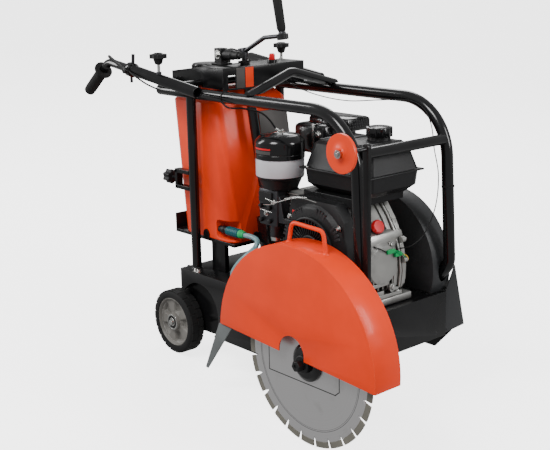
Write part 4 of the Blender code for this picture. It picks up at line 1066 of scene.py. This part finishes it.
def make_belt_guard():
    """Moulded belt cover with bolts round its rim."""
    refine("belt_guard", "grey_plastic", 0.0022, 32)
    shape = bmesh.new()
    for angle in (40, 90, 140):
        spot = (BELT_COVER_X + BELT_COVER_REACH * cos(radians(angle)), 0.468,
                BELT_COVER_Z + BELT_COVER_REACH * sin(radians(angle)))
        hex_bolt(shape, spot, (0, 1, 0), 0.010, 0.005)
    place(shape, "belt_guard_bolts", "zinc", bevel=0.0004)


# ---------------------------------------------------------------- tank, console and handles

def make_water_tank():
    """Moulded orange tank, its ribbed lid, and the tray with its clips."""
    refine("water_tank", "orange_plastic", 0.0045, 52)
    refine("tank_lid", "gloss_black", 0.0016)
    low, high = span("tank_lid")
    centre = (low + high) / 2
    shape = bmesh.new()
    for index in range(24):
        angle = 2 * pi * index / 24
        along = Vector((cos(angle), sin(angle), 0))
        side = Vector((-sin(angle), cos(angle), 0))
        extrude(shape, [(0.0480, -0.0022), (0.0505, -0.0014), (0.0505, 0.0014), (0.0480, 0.0022)],
                (centre.x, centre.y, low.z + 0.004), along, side, (0, 0, 0.026))
    place(shape, "lid_ribs", "gloss_black", body="lid", bevel=0.0005)
    shape = bmesh.new()
    rear, front = span("tray")
    outline = [(-0.013, 0.0), (0.013, 0.0), (0.013, 0.018), (0.009, 0.027), (0.003, 0.031), (-0.003, 0.031),
               (-0.009, 0.027), (-0.013, 0.018)]
    extrude(shape, outline, (-0.566, rear.y - 0.0050, 0.194), (1, 0, 0), (0, 0, 1), (0, 0.0045, 0))
    extrude(shape, outline, (front.x + 0.0005, 0.205, 0.194), (0, 1, 0), (0, 0, 1), (0.0045, 0, 0))
    place(shape, "tank_clips", "black_paint", bevel=0.0008)
    refine("tray", "black_paint", 0.0010)


def make_tap():
    """Dark valve tail, ribbed teal connector with a green collar, and the milky hose."""
    low, high = span("water_tap")
    start = Vector((low.x, (low.y + high.y) / 2, (low.z + high.z) / 2))
    length = high.x - low.x
    turned("valve_tail", "black_plastic", [(0, 0), (0.0098, 0), (0.0098, 0.014), (0.0125, 0.016),
           (0.0125, 0.026), (0.0100, 0.028), (0.0100, 0.040), (0, 0.040)], start, (1, 0, 0), 40,
           nodes=("water_tap",), bevel=0.0008)
    shape = bmesh.new()
    outline = []
    for index in range(7):
        x = 0.038 + index * 0.0075
        outline += [(0.0128, x), (0.0140, x + 0.0012), (0.0140, x + 0.0045), (0.0128, x + 0.0058)]
    revolve(shape, [(0, 0.038)] + outline + [(0.0110, 0.0905), (0, 0.0905)], start, (1, 0, 0), 48)
    place(shape, "quick_connector", "teal_plastic")
    turned("connector_collar", "green_plastic", [(0, 0.090), (0.0118, 0.090), (0.0125, 0.093),
           (0.0125, 0.099), (0.0105, 0.103), (0.0095, length), (0, length)], start, (1, 0, 0), 40,
           bevel=0.0008)
    stops = [(-0.4072, 0.138, 0.232), (-0.375, 0.138, 0.2325), (-0.346, 0.132, 0.228),
             (-0.341, 0.119, 0.212), (-0.360, 0.107, 0.190), (-0.388, 0.099, 0.163),
             (-0.407, 0.093, 0.136), (-0.412, 0.090, 0.1090)]
    cable("clear_water_hose", smooth_points(stops, 60), 0.0074, "hose", ROOT, ("water_hose",), 10)


def make_console():
    """Console sheet with plain stripes, the round switch body, screws and the lever bracket."""
    refine("console", "black_paint", 0.0010)
    high = span("console")[1]
    front = high.x
    for name, finish, start, end in (("console_strip_grey", "shield", 0.166, 0.196),
                                     ("console_strip_orange", "orange_paint", 0.199, 0.228)):
        boxes(name, finish, [((front, start, 0.644), (front + 0.0005, end, 0.700))])
    refine("stop_button", "red_plastic", 0.0008)
    shape = bmesh.new()
    for y in (0.255, 0.410):
        hex_bolt(shape, (-0.545, y, high.z - 0.0085), (0, 0, 1), 0.008, 0.004)
    place(shape, "console_screws", "zinc", bevel=0.0003)
    shape = bmesh.new()
    block(shape, (-0.573, 0.178, 0.7034), (-0.541, 0.204, 0.750))
    block(shape, (-0.580, 0.172, 0.7034), (-0.534, 0.214, 0.7080))
    revolve(shape, [(0, 0), (0.0145, 0), (0.0145, 0.036), (0.0120, 0.040), (0.0120, 0.062), (0.0080, 0.064),
                    (0.0080, 0.072), (0, 0.072)], (-0.541, 0.194, 0.732), (1, 0, 0), 36)
    place(shape, "lever_bracket", "black_plastic", bevel=0.0016)
    shape = bmesh.new()
    hex_bolt(shape, (-0.557, 0.178, 0.732), (0, -1, 0), 0.014, 0.006)
    place(shape, "lever_bolt", "zinc", bevel=0.0005)
    refine("heat_shield", "shield", 0.0008)
    refine("screw_housing", "gloss_black", 0.0012, 28)
    refine("push_rod", "zinc", 0.0006)


def make_crank():
    """Bent steel crank with a lobed nut under a tapered grip."""
    refine("depth_crank", "dark_steel", 0.0008, 35)
    refine("crank_grip", "rubber", 0.0015)
    foot = pivot("crank_grip_spin")
    axis = direction("crank_grip_spin")
    shape = bmesh.new()
    turn = axis.to_track_quat("Z", "Y").to_matrix()
    extrude(shape, lobed(0.01525, 0.00175, 6, 48), foot - axis * 0.010, turn @ Vector((1, 0, 0)),
            turn @ Vector((0, 1, 0)), axis * 0.015)
    place(shape, "crank_nut", "black_plastic", body="crank", bevel=0.0012)


def make_handles():
    """Sleeves, bent tubes, ribbed grips, lobed lock knobs, and the two cables that run to the engine."""
    for side in ("near", "far"):
        refine("handle_sleeve_" + side, "gloss_black", 0.0006)
        refine("handle_tube_" + side, "gloss_black", 0.0, 45)
        refine("grip_" + side, "rubber", 0.0014)
        low, high = span("grip_" + side)
        bend = HANDLE_BEND + Vector((0, (low.y + high.y) / 2, 0))
        run = (HANDLE_END - HANDLE_BEND).normalized()
        shape = bmesh.new()
        for index in range(11):
            distance = 0.060 + index * 0.0078
            revolve(shape, [(0.0160, distance), (0.0174, distance + 0.001), (0.0174, distance + 0.0032),
                            (0.0160, distance + 0.0042)], bend, run, 40)
        place(shape, "grip_ribs_" + side, "rubber", body="handle_" + side)
        seat = pivot("lock_knob_" + side + "_turn")
        peak = span("lock_knob_" + side)[1].z
        shape = bmesh.new()
        extrude(shape, lobed(0.0225, 0.0025, 6, 60), (seat.x, seat.y, peak - 0.013), (1, 0, 0), (0, 1, 0),
                (0, 0, 0.013))
        revolve(shape, [(0, 0), (0.0085, 0), (0.0110, 0.004), (0.0150, 0.017), (0, 0.017)],
                (seat.x, seat.y, peak - 0.0300), (0, 0, 1), 32)
        revolve(shape, [(0, 0), (0.014, 0), (0.012, 0.003), (0, 0.004)], (seat.x, seat.y, peak),
                (0, 0, 1), 32)
        place(shape, "star_knob_" + side, "black_plastic", body="knob_" + side,
              nodes=("lock_knob_" + side,), bevel=0.0022)
        turned("knob_stud_" + side, "zinc", [(0, 0), (0.0044, 0), (0.0044, 0.026), (0, 0.026)],
               (seat.x, seat.y, peak - 0.0550), (0, 0, 1), 24, body="knob_" + side)
        shape = bmesh.new()
        hex_bolt(shape, seat - Vector((0, 0, 0.0035)), (0, 0, 1), 0.014, 0.007, False)
        place(shape, "knob_seat_" + side, "dark_steel", bevel=0.0006)
    refine("handle_bar", "gloss_black", 0.0)
    refine("clamp_knob", "black_plastic", 0.0014)
    refine("throttle_lever", "black_plastic", 0.0008)
    stops = [(-0.7735, 0.0168, 0.684), (-0.725, 0.013, 0.668), (-0.660, 0.015, 0.648),
             (-0.580, 0.034, 0.631), (-0.490, 0.066, 0.623), (-0.430, 0.0795, 0.619),
             (-0.400, 0.086, 0.603), (-0.380, 0.125, 0.598), (-0.362, 0.180, 0.578),
             (-0.354, 0.225, 0.520), (-0.340, 0.243, 0.440), (-0.305, 0.235, 0.362),
             (-0.290, 0.2078, 0.340)]
    cable("throttle_bowden", smooth_points(stops, 90), 0.0025, "rubber", ROOT, ("throttle_cable",), 5)
    stops = [(-0.4570, 0.340, 0.660), (-0.435, 0.350, 0.640), (-0.360, 0.385, 0.612),
             (-0.270, 0.417, 0.600), (-0.150, 0.4215, 0.612), (-0.048, 0.4215, 0.620),
             (0.008, 0.4215, 0.602), (0.036, 0.4200, 0.560), (0.048, 0.4190, 0.500),
             (0.064, 0.4190, 0.430), (0.064, 0.4100, 0.350), (0.074, 0.3600, 0.290),
             (0.072, 0.3120, 0.262), (0.0435, 0.2900, 0.250)]
    cable("stop_lead", smooth_points(stops, 120), 0.0015, "rubber", ROOT, ("stop_wire",), 4)
    make_ties()
    make_throttle_clamp()


def make_throttle_clamp():
    """Split clamp round the near handle sleeve, with its adjusting screws and cable stop."""
    seat = pivot("throttle_swing")
    lean = direction("handle_near_slide")
    shape = bmesh.new()
    revolve(shape, [(0.0163, -0.010), (0.0200, -0.010), (0.0200, 0.010), (0.0163, 0.010)],
            Vector((-0.786, 0.036, 0.6858)), lean, 40)
    block(shape, (seat.x - 0.004, 0.0280, seat.z - 0.012), (seat.x + 0.022, 0.0440, seat.z + 0.002))
    place(shape, "throttle_clamp", "black_plastic", bevel=0.0014)
    shape = bmesh.new()
    revolve(shape, [(0, 0), (0.0050, 0), (0.0050, 0.026), (0, 0.026)],
            (-0.778, 0.036, 0.706), (0.1, 0, 1), 20)
    revolve(shape, [(0, 0), (0.0042, 0), (0.0042, 0.018), (0, 0.018)],
            (-0.790, 0.036, 0.666), (0, 0, -1), 20)
    hex_bolt(shape, (-0.786, 0.0155, 0.684), (0, -1, 0), 0.010, 0.005)
    place(shape, "clamp_screws", "dark_steel", bevel=0.0006)


def make_ties():
    """Cable ties round the near beam and the far leg."""
    ties = [((-0.430, 0.100, 0.627), (1, 0, 0), 0.0175, "near_tie"), ((0.079, 0.441, 0.400),
                                                                       (0.05, 0, -1), 0.0175, "far_tie")]
    for spot, axis, radius, name in ties:
        turned(name, "rubber", [(0.0160, -0.0018), (radius, -0.0018), (radius, 0.0018), (0.0160, 0.0018)],
               spot, axis, 40)


def make_guide():
    """Flat pointer bar and its dished orange wheel on a plated bolt."""
    refine("guide_bar", "black_paint", 0.0008)
    centre = pivot("guide_wheel_spin")
    turned("dished_guide_wheel", "orange_plastic", [(0.0056, -0.0065), (0.0125, -0.0065), (0.0150, -0.0035),
           (0.0330, -0.0025), (0.0440, -0.0042), (0.0475, -0.0038), (0.0480, -0.0010), (0.0480, 0.0010),
           (0.0475, 0.0038), (0.0440, 0.0042), (0.0330, 0.0025), (0.0150, 0.0035), (0.0125, 0.0065),
           (0.0056, 0.0065)], centre, (0, 1, 0), 96, body="guide_roller", nodes=("guide_wheel",), angle=50)
    shape = bmesh.new()
    hex_bolt(shape, centre + Vector((0, -0.0138, 0)), (0, -1, 0), 0.011, 0.005)
    revolve(shape, [(0, 0), (0.0095, 0), (0.0095, 0.0072), (0, 0.0072)],
            centre + Vector((0, -0.0140, 0)), (0, 1, 0), 32)
    place(shape, "guide_wheel_bolt", "zinc", body="guide", bevel=0.0004)


def make_underside():
    """Carriage, axle, shaft and bearings under the deck."""
    refine("front_carriage", "black_paint", 0.0010)
    refine("rear_axle", "zinc", 0.0006)
    refine("blade_shaft", "dark_steel", 0.0008)
    for side in ("near", "far"):
        refine("bearing_" + side, "cast", 0.0014)


make_camera()
make_studio()
make_blade()
make_flange_and_bolt()
for wheel_side in ("near", "far"):
    make_rear_wheel(wheel_side)
make_front_wheels()
make_frame_tubes()
make_chassis()
make_guard()
make_engine()
make_fan_cover()
make_fuel_tank()
make_air_cleaner()
make_carburettor()
make_muffler()
make_belt_guard()
make_water_tank()
make_tap()
make_console()
make_crank()
make_handles()
make_guide()
make_underside()
